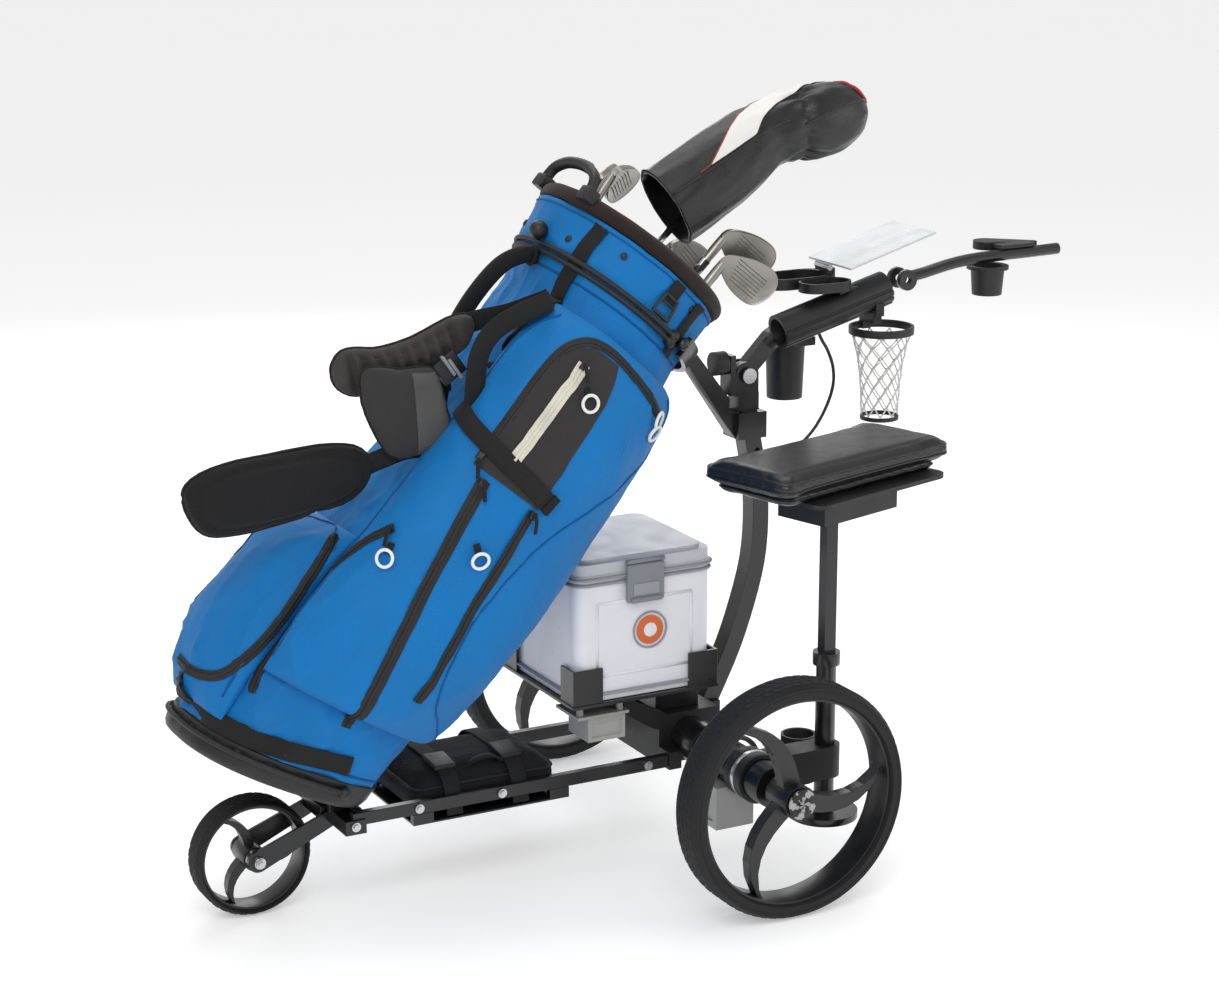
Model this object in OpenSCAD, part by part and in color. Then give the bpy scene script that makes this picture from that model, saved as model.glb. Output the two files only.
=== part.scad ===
// Golf bag on a three-wheeled push cart with a seat, a cooler and accessories.
// X runs from the front wheel to the handle, Y across the track, Z up from the ground.
// Shapes are laid out from the front axle, then moved so that the origin is below the middle.

/* [Wheels] */
// Outer radius of a rear tyre
rear_r = 165; // [155:1:172]
// Width of a rear tyre
rear_w = 58; // [50:1:60]
// Outer radius of the front tyre
front_r = 82; // [76:1:86]
// Width of the front tyre
front_w = 48; // [40:1:50]
// Distance from the front axle back to the rear axle
wheelbase = 642; // [636:1:648]
// Track, measured over the outer faces of the rear tyres
track = 752; // [744:1:760]
// Number of curved spokes in a wheel
spokes = 3; // [3:1:5]

/* [Bag] */
// Angle of the bag's axis above the ground
bag_lean = 49.1; // [48.6:0.1:49.6]
// Height of the bag's lower reference point above the ground
bag_z = 220; // [218:1:226]
// Outer radius of the round collar
collar_r = 146; // [143:1:147]
// Thickness of the padded fabric wall
bag_wall = 8; // [5:1:10]
// Thickness of the moulded base
boot_h = 38; // [30:1:40]

/* [Frame] */
// Half distance between the two rails
rail_y = 92; // [88:1:96]
// Height of the rails' centre line
rail_z = 143; // [141:1:146]
// Radius of the axle housing
housing_r = 29; // [26:1:30]
// Radius of the wheel axles
axle_r = 8; // [6:0.5:9]
// Running clearance of every shaft in its bore, on the radius
run_fit = 0.06; // [0.03:0.01:0.09]
// Front-to-back size of the mast tube
mast_w = 26; // [22:1:28]

/* [Seat] */
// Length of the seat cushion
seat_len = 346; // [330:1:350]
// Width of the seat cushion
seat_wid = 166; // [150:1:170]
// Angle that the seat is turned to the cart
seat_turn = 16.5; // [10:0.5:20]
// Height of the top of the seat
seat_top = 606; // [600:1:612]
// Radius of the lower seat tube
seat_tube_r = 14; // [12:1:15]

/* [Cooler] */
// Length of the cooler along the cart
cooler_len = 216; // [200:1:218]
// Width of the cooler across the cart
cooler_wid = 206; // [190:1:210]
// Height of the cooler's body
cooler_h = 172; // [160:1:175]

/* [Hidden] */

// Origin: below the middle of the cart's length
mid_x = 596.75;
// Gap left between bodies that move past each other
gap = 0.4;
$fn = 48;

rear_y = track / 2 - rear_w / 2;
rim_gap = 0.3;
rear_inner_r = rear_r * 0.876;
front_inner_r = front_r * 0.9;

// Bag: half sizes of the tube to the front, to the back and to each side at heights along it
front_of = [[-60, 128], [0, 134], [130, 142], [240, 136], [324, 124], [420, 114], [506, 104],
    [712, 104], [774, 132], [830, collar_r]];
back_of = [[-60, 126], [0, 130], [100, 134], [200, 140], [700, 140], [774, 143], [830, collar_r]];
side_of = [[-60, 134], [0, 138], [130, 144], [690, 142], [774, 143], [830, collar_r]];
round_of = [[0, 2.5], [690, 2.4], [744, 2], [830, 2]];
base_slope = 0.27;
body_base = 20;
body_top = 828;
bag_stations = [body_base, 60, 130, 200, 270, 340, 420, 510, 600, 680, 730, 774, body_top];
bag_sides = 32;

// Mast: centre line from the chassis to the handle hinge
mast_path = [[700, 172], [722, 214], [748, 268], [770, 329], [786, 390], [791, 450], [788, 510],
    [777, 570], [768, 622]];
hinge_x = 765;
hinge_z = 668;
hinge_pin_r = 6;

// Handle: fluted tube, clamp and upper arm
tube_lo = [806, 729];
tube_hi = [984, 777];
handle_y = -30;
clamp_x = 1014;
clamp_z = 788;
grip_path = [[1014, 788], [1050, 793], [1090, 801], [1130, 806], [1180, 808], [1240, 809],
    [1290, 810]];

// Seat post
post_x = 757;
post_y = -250;
foot_z = 85;
collar_z = 308;
box_z = 522;

// Cooler
cooler_x = 440;
cooler_y = -110;
cooler_z = 256;
lid_h = 30;

// Headcover, in the bag's own axes: the sleeve's mouth and end, and the bulb past it
cover_from = [3, 0, 922];
cover_to = [81, -16, 1154];
cover_bulb = [138, -16, 1190];

// Cable from below the fluted tube to the mast, held at both ends
cable_route = [[880, -20, 719], [888, -18, 706], [900, -14, 690], [912, -10, 664], [914, -8, 636],
    [904, -6, 604], [884, -4, 572], [856, -2, 548], [826, 0, 534], [801, 0, 528]];

// --- helpers -----------------------------------------------------------------

module place() { translate([-mid_x, 0, 0]) children(); }

module in_bag() { translate([33.5, 0, bag_z]) rotate([0, 90 - bag_lean, 0]) children(); }

module along_y(r, y0, y1) { translate([0, y0, 0]) rotate([-90, 0, 0]) cylinder(r = r, h = y1 - y0); }

function unit(v) = v / norm(v);

// Points of a ring of n points round c, in the plane across direction t
function ring_at(c, t, ref, w, h, n) =
    let (a = unit(cross(t, ref)), b = cross(a, t))
    [for (i = [0 : n - 1]) let (u = 360 * (i + 0.5) / n) c + a * w * cos(u) + b * h * sin(u)];

function tangent(p, i) =
    unit(p[min(i + 1, len(p) - 1)] - p[max(i - 1, 0)]);

// A Catmull-Rom curve through p, with k steps for each span
function curve_at(a, b, c, d, t) =
    0.5 * (2 * b + (c - a) * t + (2 * a - 5 * b + 4 * c - d) * t * t
        + (3 * b - a - 3 * c + d) * t * t * t);
function smooth(p, k) =
    let (m = len(p) - 1)
    [for (i = [0 : m - 1], j = [0 : k - 1])
        curve_at(p[max(i - 1, 0)], p[i], p[i + 1], p[min(i + 2, m)], j / k), p[m]];

// Closed skin over a list of rings with the same number of points
module skin(rings) {
    n = len(rings[0]);
    m = len(rings);
    sides = [for (i = [0 : m - 2], j = [0 : n - 1])
        [i * n + j, i * n + (j + 1) % n, (i + 1) * n + (j + 1) % n, (i + 1) * n + j]];
    first = [for (j = [n - 1 : -1 : 0]) j];
    last = [for (j = [0 : n - 1]) (m - 1) * n + j];
    polyhedron([for (r = rings, q = r) q], concat(sides, [first], [last]), convexity = 8);
}

// Round or oval tube along a path; its ends are cut square
module sweep(path, w, h, n, ref) {
    skin([for (i = [0 : len(path) - 1]) ring_at(path[i], tangent(path, i), ref, w, h, n)]);
}

// Straight round bar between two points
module bar(a, b, r) {
    v = b - a;
    translate(a) rotate([0, acos(v[2] / norm(v)), atan2(v[1], v[0])]) cylinder(r = r, h = norm(v));
}

module round_box(size, r) {
    hull() for (x = [r, size[0] - r], y = [r, size[1] - r])
        translate([x, y, 0]) cylinder(r = r, h = size[2], $fn = 24);
}

// --- wheels ------------------------------------------------------------------

module tyre(r_out, r_in, w) {
    edge = 5;
    rotate([90, 0, 0]) rotate_extrude($fn = 96)
        polygon([[r_in, -w / 2 + edge], [r_in, w / 2 - edge], [r_in + 2, w / 2],
            [r_out - edge, w / 2], [r_out, w / 2 - 2 * edge], [r_out, -w / 2 + 2 * edge],
            [r_out - edge, -w / 2], [r_in + 2, -w / 2]]);
}

// Curved spoke from the hub to the rim, bent as a sickle
module spoke(r_in, r_out, w0, w1, t) {
    steps = 7;
    bow = 30;
    rotate([90, 0, 0]) linear_extrude(t, center = true) polygon(concat(
        [for (i = [0 : steps]) let (u = i / steps, r = r_in + (r_out - r_in) * u)
            [r * cos(bow * u * u), r * sin(bow * u * u)] + [0, (w0 + (w1 - w0) * u) / 2]],
        [for (i = [steps : -1 : 0]) let (u = i / steps, r = r_in + (r_out - r_in) * u)
            [r * cos(bow * u * u), r * sin(bow * u * u)] - [0, (w0 + (w1 - w0) * u) / 2]]));
}

module rim(r_tyre, w, hub_r, hub_w, spoke_w) {
    band = 3.5;
    difference() {
        union() {
            rotate([90, 0, 0]) rotate_extrude($fn = 96)
                translate([r_tyre - band - rim_gap, -w / 2 + 6]) square([band, w - 12]);
            intersection() {
                union() for (i = [0 : spokes - 1]) rotate([0, i * 360 / spokes + 20, 0])
                    spoke(hub_r * 0.6, r_tyre, spoke_w * 1.3, spoke_w, w * 0.34);
                rotate([90, 0, 0]) cylinder(r = r_tyre - 1, h = w, center = true, $fn = 96);
            }
            rotate([90, 0, 0]) cylinder(r = hub_r, h = hub_w, center = true);
        }
        rotate([90, 0, 0]) cylinder(r = axle_r + run_fit, h = hub_w + 2, center = true);
    }
}

module at_front() { translate([0, 0, front_r]) children(); }
module at_rear(side) { translate([wheelbase, side * rear_y, rear_r]) children(); }

module front_tyre() { color("#202022") at_front() tyre(front_r, front_inner_r, front_w); }
module front_rim() { color("#151516") at_front() rim(front_inner_r, front_w, 17, 46, 11); }
module rear_tyre(side) { color("#202022") at_rear(side) tyre(rear_r, rear_inner_r, rear_w); }
module rear_rim(side) { color("#151516") at_rear(side) rim(rear_inner_r, rear_w, 24, 52, 20); }

// --- frame -------------------------------------------------------------------

fork_y = 30;
bridge_x = 92;
bridge_top = 143;

module axles() {
    color("silver") {
        at_front() along_y(axle_r, -fork_y - 11, fork_y + 11);
        translate([wheelbase, 0, rear_r]) along_y(axle_r, -track / 2, track / 2);
    }
}

// Two plates that hold the front wheel, each with the axle's hole
module fork_arms() {
    color("#1b1b1d") for (s = [-1, 1]) difference() {
        union() {
            translate([0, s * (fork_y + 2.5), 0]) rotate([90, 0, 0]) hull() {
                translate([0, front_r]) cylinder(r = 15, h = 5, center = true, $fn = 32);
                translate([bridge_x + 27, 131]) cylinder(r = 11, h = 5, center = true, $fn = 32);
            }
        }
        at_front() along_y(axle_r, -60, 60);
    }
}

// Cross member that joins the fork to the rails
module fork_bridge() {
    color("#1b1b1d") difference() {
        union() {
            translate([bridge_x, -fork_y, bridge_top - 20]) cube([36, 2 * fork_y, 20]);
            for (s = [-1, 1])
                translate([bridge_x + 8, s > 0 ? fork_y + 5 : -rail_y - 9, bridge_top - 20])
                    cube([30, rail_y + 4 - fork_y, 20]);
        }
        rail_pair(0);
    }
}

// The two rails, grown by a clearance c
module rail_pair(c) {
    for (s = [-1, 1]) translate([bridge_x + 20 - c, s * rail_y - 6 - c, rail_z - 9 - c])
        cube([wheelbase - bridge_x - 68 + 2 * c, 12 + 2 * c, 18 + 2 * c]);
}

module frame_rails() { color("#1b1b1d") rail_pair(0); }

module bolt_head(x, y, z, s) {
    translate([x, y, z]) rotate([s * -90, 0, 0]) {
        cylinder(r = 6.5, h = 3);
        cylinder(r = 4.5, h = 6, $fn = 6);
    }
}

module frame_bolts() {
    color("silver") {
        for (s = [-1, 1], x = [208, 332, 560]) bolt_head(x, s * (rail_y + 6 + gap), rail_z, s);
        for (s = [-1, 1]) bolt_head(bridge_x + 22, s * (rail_y + 9.2), rail_z - 8, s);
        for (s = [-1, 1]) bolt_head(0, s * (fork_y + 11.2), front_r, s);
        for (s = [-1, 1]) translate([wheelbase, s * 250, rear_r]) rotate([90, 0, 0]) difference() {
            cylinder(r = housing_r + 6, h = 8, center = true);
            cylinder(r = housing_r + gap, h = 9, center = true);
        }
    }
}

tray_x = 200;
tray_len = 236;

// Folded sheet tray hung below the rails
module battery_tray() {
    color("#1b1b1d") {
        translate([tray_x, -rail_y - 6, rail_z - 25]) cube([tray_len, 2 * rail_y + 12, 3]);
        for (s = [-1, 1], x = [0, tray_len - 30]) translate([tray_x + x, s * rail_y - 6, rail_z - 22])
            cube([30, 12, 12.8]);
        for (x = [40, 150]) translate([tray_x + x, -60, rail_z - 35]) cube([40, 120, 10]);
    }
}

// Soft battery case between the rails
module battery_bag() {
    color("#111112") translate([tray_x + 4, -rail_y + 9, rail_z - 21.6]) hull() {
        translate([0, 0, 0]) round_box([tray_len - 10, 2 * rail_y - 18, 40], 16);
        translate([20, 10, 40]) round_box([tray_len - 42, 2 * rail_y - 38, 18], 12);
    }
}

// Block at the back of the rails, with the folding plates of the chassis on its sides
module chassis_block() {
    color("#17171a") difference() {
        union() {
            translate([wheelbase - 48, -70, 128]) cube([96, 140, 74]);
            for (s = [-1, 1]) translate([0, s * 66, 0]) rotate([90, 0, 0]) hull() {
                translate([wheelbase - 50, 196]) cylinder(r = 14, h = 8, center = true, $fn = 32);
                translate([wheelbase - 96, 222]) cylinder(r = 11, h = 8, center = true, $fn = 32);
            }
            for (s = [-1, 1]) translate([wheelbase - 48, s > 0 ? 70 : -rail_y - 8, 130])
                cube([20, rail_y - 62, 26]);
            // Foot of the mast
            translate([wheelbase + 36, -22, 140]) cube([44, 44, 50]);
        }
        rail_pair(0.1);
        translate([wheelbase, 0, rear_r]) along_y(housing_r, -80, 80);
        mast_tube(1 + mast_w, 31);
    }
}

module axle_housing() {
    color("#1b1b1d") translate([wheelbase, 0, rear_r]) difference() {
        union() {
            along_y(housing_r, -rear_y + rear_w / 2 + 12, rear_y - rear_w / 2 - 12);
            for (s = [-1, 1]) translate([0, s * 120, 0]) along_y(housing_r + 4, -14, 14);
        }
        along_y(axle_r, -400, 400);
    }
}

module gearbox() {
    color("#a5a6a4") difference() {
        translate([wheelbase - 44, -226, 82]) cube([60, 58, 62]);
        translate([wheelbase, 0, rear_r]) along_y(housing_r + rim_gap, -300, 300);
        // Cast recess in the front face
        translate([wheelbase - 45, -216, 92]) cube([4, 38, 24]);
    }
}

module control_box() {
    color("#9b9c98") translate([466, -98, 192]) difference() {
        cube([58, 60, 36]);
        translate([6, -1, 6]) cube([46, 3, 22]);
    }
    color("#a08552") {
        translate([448, -102, 228]) cube([80, 68, 4]);
        for (x = [456, 518]) translate([x, -92, 231]) cylinder(r = 5, h = tray_z - rim_gap - 231);
    }
}

// --- mast and brackets -------------------------------------------------------

module mast_tube(w, d) {
    path = smooth([for (p = mast_path) [p[0], 0, p[1]]], 3);
    skin([for (i = [0 : len(path) - 1])
        let (t = tangent(path, i), a = [t[2], 0, -t[0]])
        [path[i] + a * w / 2 + [0, d / 2, 0], path[i] + a * w / 2 - [0, d / 2, 0],
            path[i] - a * w / 2 - [0, d / 2, 0], path[i] - a * w / 2 + [0, d / 2, 0]]]);
}

ear_y = 15;
knob_z = hinge_z + 18;

// Curved rectangular tube with the two ears of the handle hinge on top
module mast() {
    color("#17171a") difference() {
        union() {
            mast_tube(mast_w, 30);
            translate([hinge_x - 14, -15, 616]) cube([34, 30, 26]);
            for (s = [-1, 1]) translate([0, s * (ear_y - 3), 0]) rotate([90, 0, 0]) {
                translate([hinge_x, hinge_z]) cylinder(r = 19, h = 6, center = true);
                translate([hinge_x - 19, hinge_z - 30, -3]) cube([38, 30, 6]);
            }
            translate([hinge_x - 27, -15, hinge_z - 28]) cube([8.5, 30, 58]);
        }
        translate([hinge_x - 40, 0, knob_z]) rotate([0, 90, 0]) cylinder(r = 5 + run_fit, h = 30);
        translate([hinge_x, 0, hinge_z]) along_y(hinge_pin_r, -40, 40);
        // Row of height adjustment holes
        for (i = [0 : 4]) translate([788 - i * i * 1.2, 0, 512 + i * 22]) along_y(4, -40, 40);
    }
}

module hinge_bolt() {
    color("silver") translate([hinge_x, 0, hinge_z]) {
        along_y(hinge_pin_r, -ear_y - 4, ear_y + 4);
        along_y(11, -ear_y - 8, -ear_y - 4);
        along_y(11, ear_y + 4, ear_y + 8);
    }
}

bracket_in = collar_r + 2.5;

// Saddle behind the bag's collar, and the arm that joins it to the mast
module bag_bracket() {
    color("#17171a") {
        difference() {
            union() {
                in_bag() translate([0, 0, 752]) rotate([0, 0, -58])
                    rotate_extrude(angle = 116, $fn = 72)
                        translate([bracket_in, 0]) square([7, 30]);
                hull() {
                    translate([674, 0, 702]) along_y(10, -13, 13);
                    translate([757, 0, 588]) along_y(14, -13, 13);
                }
                translate([748, -22, 576]) cube([46, 44, 38]);
            }
            mast_tube(mast_w + 2 * gap, 30 + 2 * gap);
            translate([hinge_x - 27 - gap, -15 - gap, 616 - gap]) cube([60, 30 + 2 * gap, 100]);
            in_bag() translate([0, 0, 700]) cylinder(r = bracket_in, h = 120);
        }
        // Ball ends for the bungees
        for (s = [-1, 1]) in_bag() rotate([0, 0, s * 62]) translate([bracket_in + 6, 0, 767])
            sphere(r = 9);
    }
}

cradle_y = 78;
base_tilt = atan(base_slope * (1 - body_base / 260));

// Frame on the underside of the bag's base, just clear of it
module on_base() {
    in_bag() translate([0, 0, body_base - boot_h - gap]) rotate([0, -base_tilt, 0]) children();
}

// Bent plate that carries the bag's base, with two webs down to the fork bridge
module bag_cradle() {
    color("#17171a") difference() {
        union() {
            on_base() translate([-72, -cradle_y, -5]) cube([198, 2 * cradle_y, 5]);
            for (s = [-1, 1]) translate([bridge_x + 3, s * 52 - 5, bridge_top + 0.3]) cube([30, 10, 40]);
        }
        on_base() translate([-200, -100, 0]) cube([500, 200, 90]);
    }
}

// --- cooler ------------------------------------------------------------------

tray_z = cooler_z - 6;

// Flat tray with an angle at each corner, on a post from the chassis
module cooler_tray() {
    color("#17171a") {
        translate([cooler_x - 8, cooler_y - 8, tray_z]) cube([cooler_len + 16, cooler_wid + 16, 5]);
        for (i = [0, 1], j = [0, 1]) translate([cooler_x - 6 + i * (cooler_len + 12),
            cooler_y - 6 + j * (cooler_wid + 12), tray_z + 5]) mirror([i, 0, 0]) mirror([0, j, 0]) {
                cube([46, 4, 50]);
                cube([4, 40, 50]);
            }
        translate([wheelbase - 44, -52, 202.4]) cube([70, 104, tray_z - 202.4]);
        translate([452, -30, tray_z - 14]) cube([150, 60, 14]);
    }
}

module cooler_box(inset, h) {
    r = 20;
    translate([cooler_x + inset, cooler_y + inset, 0])
        linear_extrude(h) hull()
            for (x = [r, cooler_len - 2 * inset - r], y = [r, cooler_wid - 2 * inset - r])
                translate([x, y]) circle(r = r);
}

module cooler_body() {
    color("#e9e9ee") difference() {
        translate([0, 0, cooler_z]) cooler_box(0, cooler_h);
        translate([0, 0, cooler_z + 16]) cooler_box(16, cooler_h);
        translate([cooler_x, cooler_y + cooler_wid + 5, cooler_z + cooler_h + 4]) rotate([0, 90, 0])
            cylinder(r = 8, h = cooler_len);
    }
}

lid_z = cooler_z + cooler_h + gap;
latch_x = cooler_x + cooler_len / 2 - 4;

module cooler_lid() {
    color("#b9babd") {
        translate([0, 0, lid_z]) cooler_box(-2, 8);
        translate([0, 0, lid_z + 8]) cooler_box(0, lid_h - 14);
        translate([0, 0, lid_z + lid_h - 6]) cooler_box(9, 5);
    }
}

// Pull-down clip on the near side
module cooler_latch() {
    color("#7c7f83") translate([latch_x - 30, cooler_y - 4, 0]) {
        translate([0, -9, lid_z - 36]) cube([60, 9 - gap, 58]);
        translate([8, -12, lid_z - 36]) cube([44, 3, 22]);
        translate([0, -4.5, lid_z + 23.6]) rotate([0, 90, 0]) cylinder(r = 3.5, h = 60, $fn = 24);
    }
}

// --- seat --------------------------------------------------------------------

module at_post() { translate([post_x, post_y, 0]) children(); }
module in_seat() { at_post() rotate([0, 0, seat_turn]) children(); }

socket_lo = 146;
socket_hi = 192;

module seat_socket() {
    color("#17171a") difference() {
        union() {
            translate([wheelbase + 10, post_y - 21, socket_lo])
                cube([post_x - wheelbase - 10, 42, socket_hi - socket_lo]);
            at_post() translate([0, 0, socket_lo]) cylinder(r = 21, h = socket_hi - socket_lo);
            translate([wheelbase, 0, rear_r]) along_y(housing_r + 6, post_y - 21, post_y - 5);
            translate([wheelbase, 0, rear_r]) along_y(housing_r + 6, post_y + 5, post_y + 21);
        }
        at_post() cylinder(r = seat_tube_r + run_fit, h = 400);
        translate([wheelbase, 0, rear_r]) along_y(housing_r + rim_gap, post_y - 40, post_y + 40);
        translate([wheelbase - 60, post_y - 4.6, 100]) cube([104, 9.2, 120]);
    }
}

module seat_post() {
    color("#17171a") at_post() {
        translate([0, 0, foot_z + 10 + gap]) cylinder(r = seat_tube_r, h = collar_z - foot_z - 10 - gap);
        translate([0, 0, collar_z]) cylinder(r = 19, h = 18);
        translate([-9, -9, collar_z + 18]) cube([18, 18, box_z - gap - collar_z - 18 - 2]);
        translate([0, 0, box_z - 6]) cylinder(r = 9, h = 28);
    }
}

module seat_foot() {
    color("#17171a") at_post() {
        translate([0, 0, foot_z]) cylinder(r = 48, h = 10);
    }
}

module seat_box() {
    color("#131315") difference() {
        union() {
            in_seat() translate([-58, -42, box_z]) cube([150, 84, 34]);
            in_seat() translate([-96, -70, box_z + 34]) round_box([266, 132, 6], 20);
        }
        at_post() translate([0, 0, box_z - 1]) cylinder(r = 9 + run_fit, h = 30);
    }
}

module seat_cushion() {
    color("#0d0d0f") in_seat() {
        translate([30 - seat_len / 2 + 5, 24 - seat_wid / 2 + 4, box_z + 40.4])
            round_box([seat_len - 10, seat_wid - 8, 14], 16);
        translate([30 - seat_len / 2, 24 - seat_wid / 2, box_z + 54.8])
            round_box([seat_len, seat_wid, seat_top - box_z - 54.8], 18);
    }
}

// --- accessories on the frame --------------------------------------------------

module bottle_holder() {
    color("#17171a") translate([748, -196, 0]) {
        difference() {
            translate([0, 0, 122]) cylinder(r = 25, h = 68);
            translate([0, 0, 126]) cylinder(r = 21.5, h = 70);
        }
        difference() {
            translate([-76, -10, 156]) cube([54, 20, 12]);
            cylinder(r = 25, h = 300);
            translate([wheelbase - 748, 196, rear_r]) along_y(housing_r + rim_gap, -300, 0);
        }
    }
}

module control_cable() { color("#101010") sweep(smooth(cable_route, 4), 2.2, 2.2, 8, [0, 1, 0]); }

// --- handle --------------------------------------------------------------------

tube_dir = unit([tube_hi[0] - tube_lo[0], 0, tube_hi[1] - tube_lo[1]]);
tube_tilt = atan2(tube_dir[2], tube_dir[0]);
tube_len = norm(tube_hi - tube_lo);

// Frame along the fluted tube: X along it, Z square to it
module on_tube() { translate([tube_lo[0], handle_y, tube_lo[1]]) rotate([0, -tube_tilt, 0]) children(); }

// Link from the hinge to the fluted tube: an eye between the mast's ears and a bent arm
module handle_arm() {
    color("#17171a") difference() {
        union() {
            translate([hinge_x, 0, hinge_z]) along_y(17, -ear_y + 6 + gap, ear_y - 6 - gap);
            hull() {
                translate([hinge_x, 0, hinge_z]) along_y(12, -8.6, 8.6);
                translate([812, 0, 714]) along_y(13, -8.6, 8.6);
            }
            hull() {
                translate([812, 0, 714]) along_y(13, -8.6, 8.6);
                translate([836, -10, 734]) along_y(8, -10, 14);
            }
        }
        translate([hinge_x, 0, hinge_z]) along_y(hinge_pin_r + run_fit, -40, 40);
        on_tube() rotate([0, 90, 0]) cylinder(r = 25 + gap, h = 400);
    }
}

// Half-open tube with lengthwise flutes
module fluted_tube() {
    flute_r = 2.5;
    color("#17171a") on_tube() difference() {
        rotate([0, 90, 0]) cylinder(r = 25, h = tube_len);
        translate([-1, 0, 0]) rotate([0, 90, 0]) cylinder(r = 19.5, h = tube_len - 16);
        for (i = [0 : 7]) rotate([i * 26 - 6, 0, 0]) translate([-1, -25.6, 0]) rotate([0, 90, 0])
            cylinder(r = flute_r, h = tube_len + 2, $fn = 16);
    }
}

tray_floor = 783;
panel_x = 906;
panel_z = tray_floor + 26;

// Two shallow dishes joined in one tray, with a foot on the fluted tube
module console_tray() {
    color("#17171a") difference() {
        union() {
            hull() {
                translate([838, 22, tray_floor]) cylinder(r = 34, h = 16);
                translate([892, 22, tray_floor]) cylinder(r = 34, h = 16);
            }
            hull() {
                translate([864, -34, tray_floor]) cylinder(r = 24, h = 14);
                translate([896, -34, tray_floor]) cylinder(r = 24, h = 14);
            }
            translate([900, -44, 764]) cube([30, 28, 22]);
            translate([panel_x - 4, -4, tray_floor + 2]) cube([14, 32, panel_z - tray_floor - 3]);
        }
        hull() {
            translate([838, 22, tray_floor + 4]) cylinder(r = 30.5, h = 16);
            translate([880, 22, tray_floor + 4]) cylinder(r = 30.5, h = 16);
        }
        hull() {
            translate([864, -34, tray_floor + 4]) cylinder(r = 20.5, h = 16);
            translate([896, -34, tray_floor + 4]) cylinder(r = 20.5, h = 16);
        }
        on_tube() rotate([0, 90, 0]) cylinder(r = 25 + gap, h = 400);
        // Hinge barrel seat for the panel
        translate([panel_x, 0, panel_z]) along_y(4 + run_fit, -60, 60);
    }
}

panel_tilt = 16;

// Translucent panel, hinged at its lower edge
module screen_panel() {
    color("#c9d0d6") {
        translate([panel_x, 0, panel_z]) {
            along_y(4, -7, 31);
            rotate([0, -panel_tilt, 0]) translate([1, -62, 5]) cube([150, 112, 3]);
            rotate([0, -panel_tilt, 0]) translate([-1, -7, 2]) cube([5, 38, 3.2]);
        }
    }
}

// Flared cup on the far side of the fluted tube
module drink_holder() {
    color("#17171a") {
        translate([865, 46, 614]) difference() {
            cylinder(r1 = 26, r2 = 29, h = 84);
            translate([0, 0, 4]) cylinder(r1 = 23, r2 = 26, h = 84);
        }
        difference() {
            translate([850, -12, 700]) cube([30, 42, 12]);
            on_tube() rotate([0, 90, 0]) cylinder(r = 25 + gap, h = 400);
            translate([865, 46, 600]) cylinder(r = 29 - 1.6, h = 200);
        }
    }
}

hoop_x = 962;
hoop_y = -58;
hoop_z = 718;
hoop_r = 47;

module net_hoop() {
    color("#17171a") {
        translate([hoop_x, hoop_y, hoop_z]) rotate_extrude() translate([hoop_r - 4, 0]) square([4, 11]);
        difference() {
            translate([hoop_x - 7, -54, hoop_z + 11.2]) cube([14, 44, 30]);
            on_tube() rotate([0, 90, 0]) cylinder(r = 25 + gap, h = 400);
            translate([hoop_x - 20, -60, hoop_z + 11]) cube([40, 12, 12]);
        }
        translate([hoop_x - 7, -20, hoop_z]) cube([14, 11, 11.2]);
        translate([hoop_x, hoop_y, 592]) rotate_extrude() translate([25, 0]) square([3, 6]);
    }
}

// Net sleeve between the two rings
module ball_net() {
    color("#d8d8d6") translate([hoop_x, hoop_y, 598.4]) rotate_extrude($fn = 32)
        polygon([[25, 0], [27, 0], [28, 42], [33, 84], [44, 119], [42, 119], [31, 84], [26, 42]]);
}

module handle_knob() {
    color("#101011") translate([hinge_x - 27, 0, knob_z]) rotate([0, -90, 0]) {
        translate([0, 0, 2]) cylinder(r = 17, h = 19);
        translate([0, 0, -8]) cylinder(r = 5, h = 11);
    }
}

// Clamp block at the end of the fluted tube is part of the grip arm's fork
module grip_arm() {
    color("#17171a") difference() {
        union() {
            translate([0, handle_y, 0])
                sweep(smooth([for (p = grip_path) [p[0], 0, p[1]]], 2), 8.5, 8.5, 12, [0, 1, 0]);
            translate([clamp_x, 0, clamp_z]) along_y(15, handle_y - 17, handle_y + 17);
        }
        translate([clamp_x, 0, clamp_z]) along_y(5 + run_fit, -90, 60);
        translate([clamp_x - 30, handle_y - 8.6, clamp_z - 30]) cube([46, 17.2, 60]);
    }
}

// Moulded thumb rest on the far side of the grip
module grip_pod() {
    color("#1c1c1e") {
        hull() {
            translate([1190, 10, 812]) cylinder(r = 20, h = 12, $fn = 32);
            translate([1262, -6, 812]) cylinder(r = 7, h = 8, $fn = 32);
        }
        translate([1186, -34, 817.6]) cube([60, 26, 5]);
    }
}

module small_cup() {
    color("#17171a") {
        difference() {
            translate([1172, -20, 750]) cylinder(r1 = 22, r2 = 25, h = 40);
            translate([1172, -20, 754]) cylinder(r1 = 19, r2 = 22.5, h = 40);
        }
        translate([1172, -20, 788]) difference() {
            cylinder(r = 31, h = 5);
            translate([0, 0, -1]) cylinder(r = 22.5, h = 7);
        }
        difference() {
            translate([1158, -36, 792.8]) cube([28, 12, 10]);
            translate([1172, -20, 700]) cylinder(r = 22.5, h = 200);
            translate([1100, handle_y, 808]) rotate([0, 90, 0]) cylinder(r = 8.8, h = 200);
        }
    }
}

// --- bag -----------------------------------------------------------------------

// Distance from the bag's axis to its tube at angle a and height z; 0 points to the back
function tube_at(a, z) =
    let (x = cos(a) > 0 ? lookup(z, back_of) : lookup(z, front_of), y = lookup(z, side_of),
        n = lookup(z, round_of))
    pow(pow(abs(cos(a)) / x, n) + pow(abs(sin(a)) / y, n), -1 / n);

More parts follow.
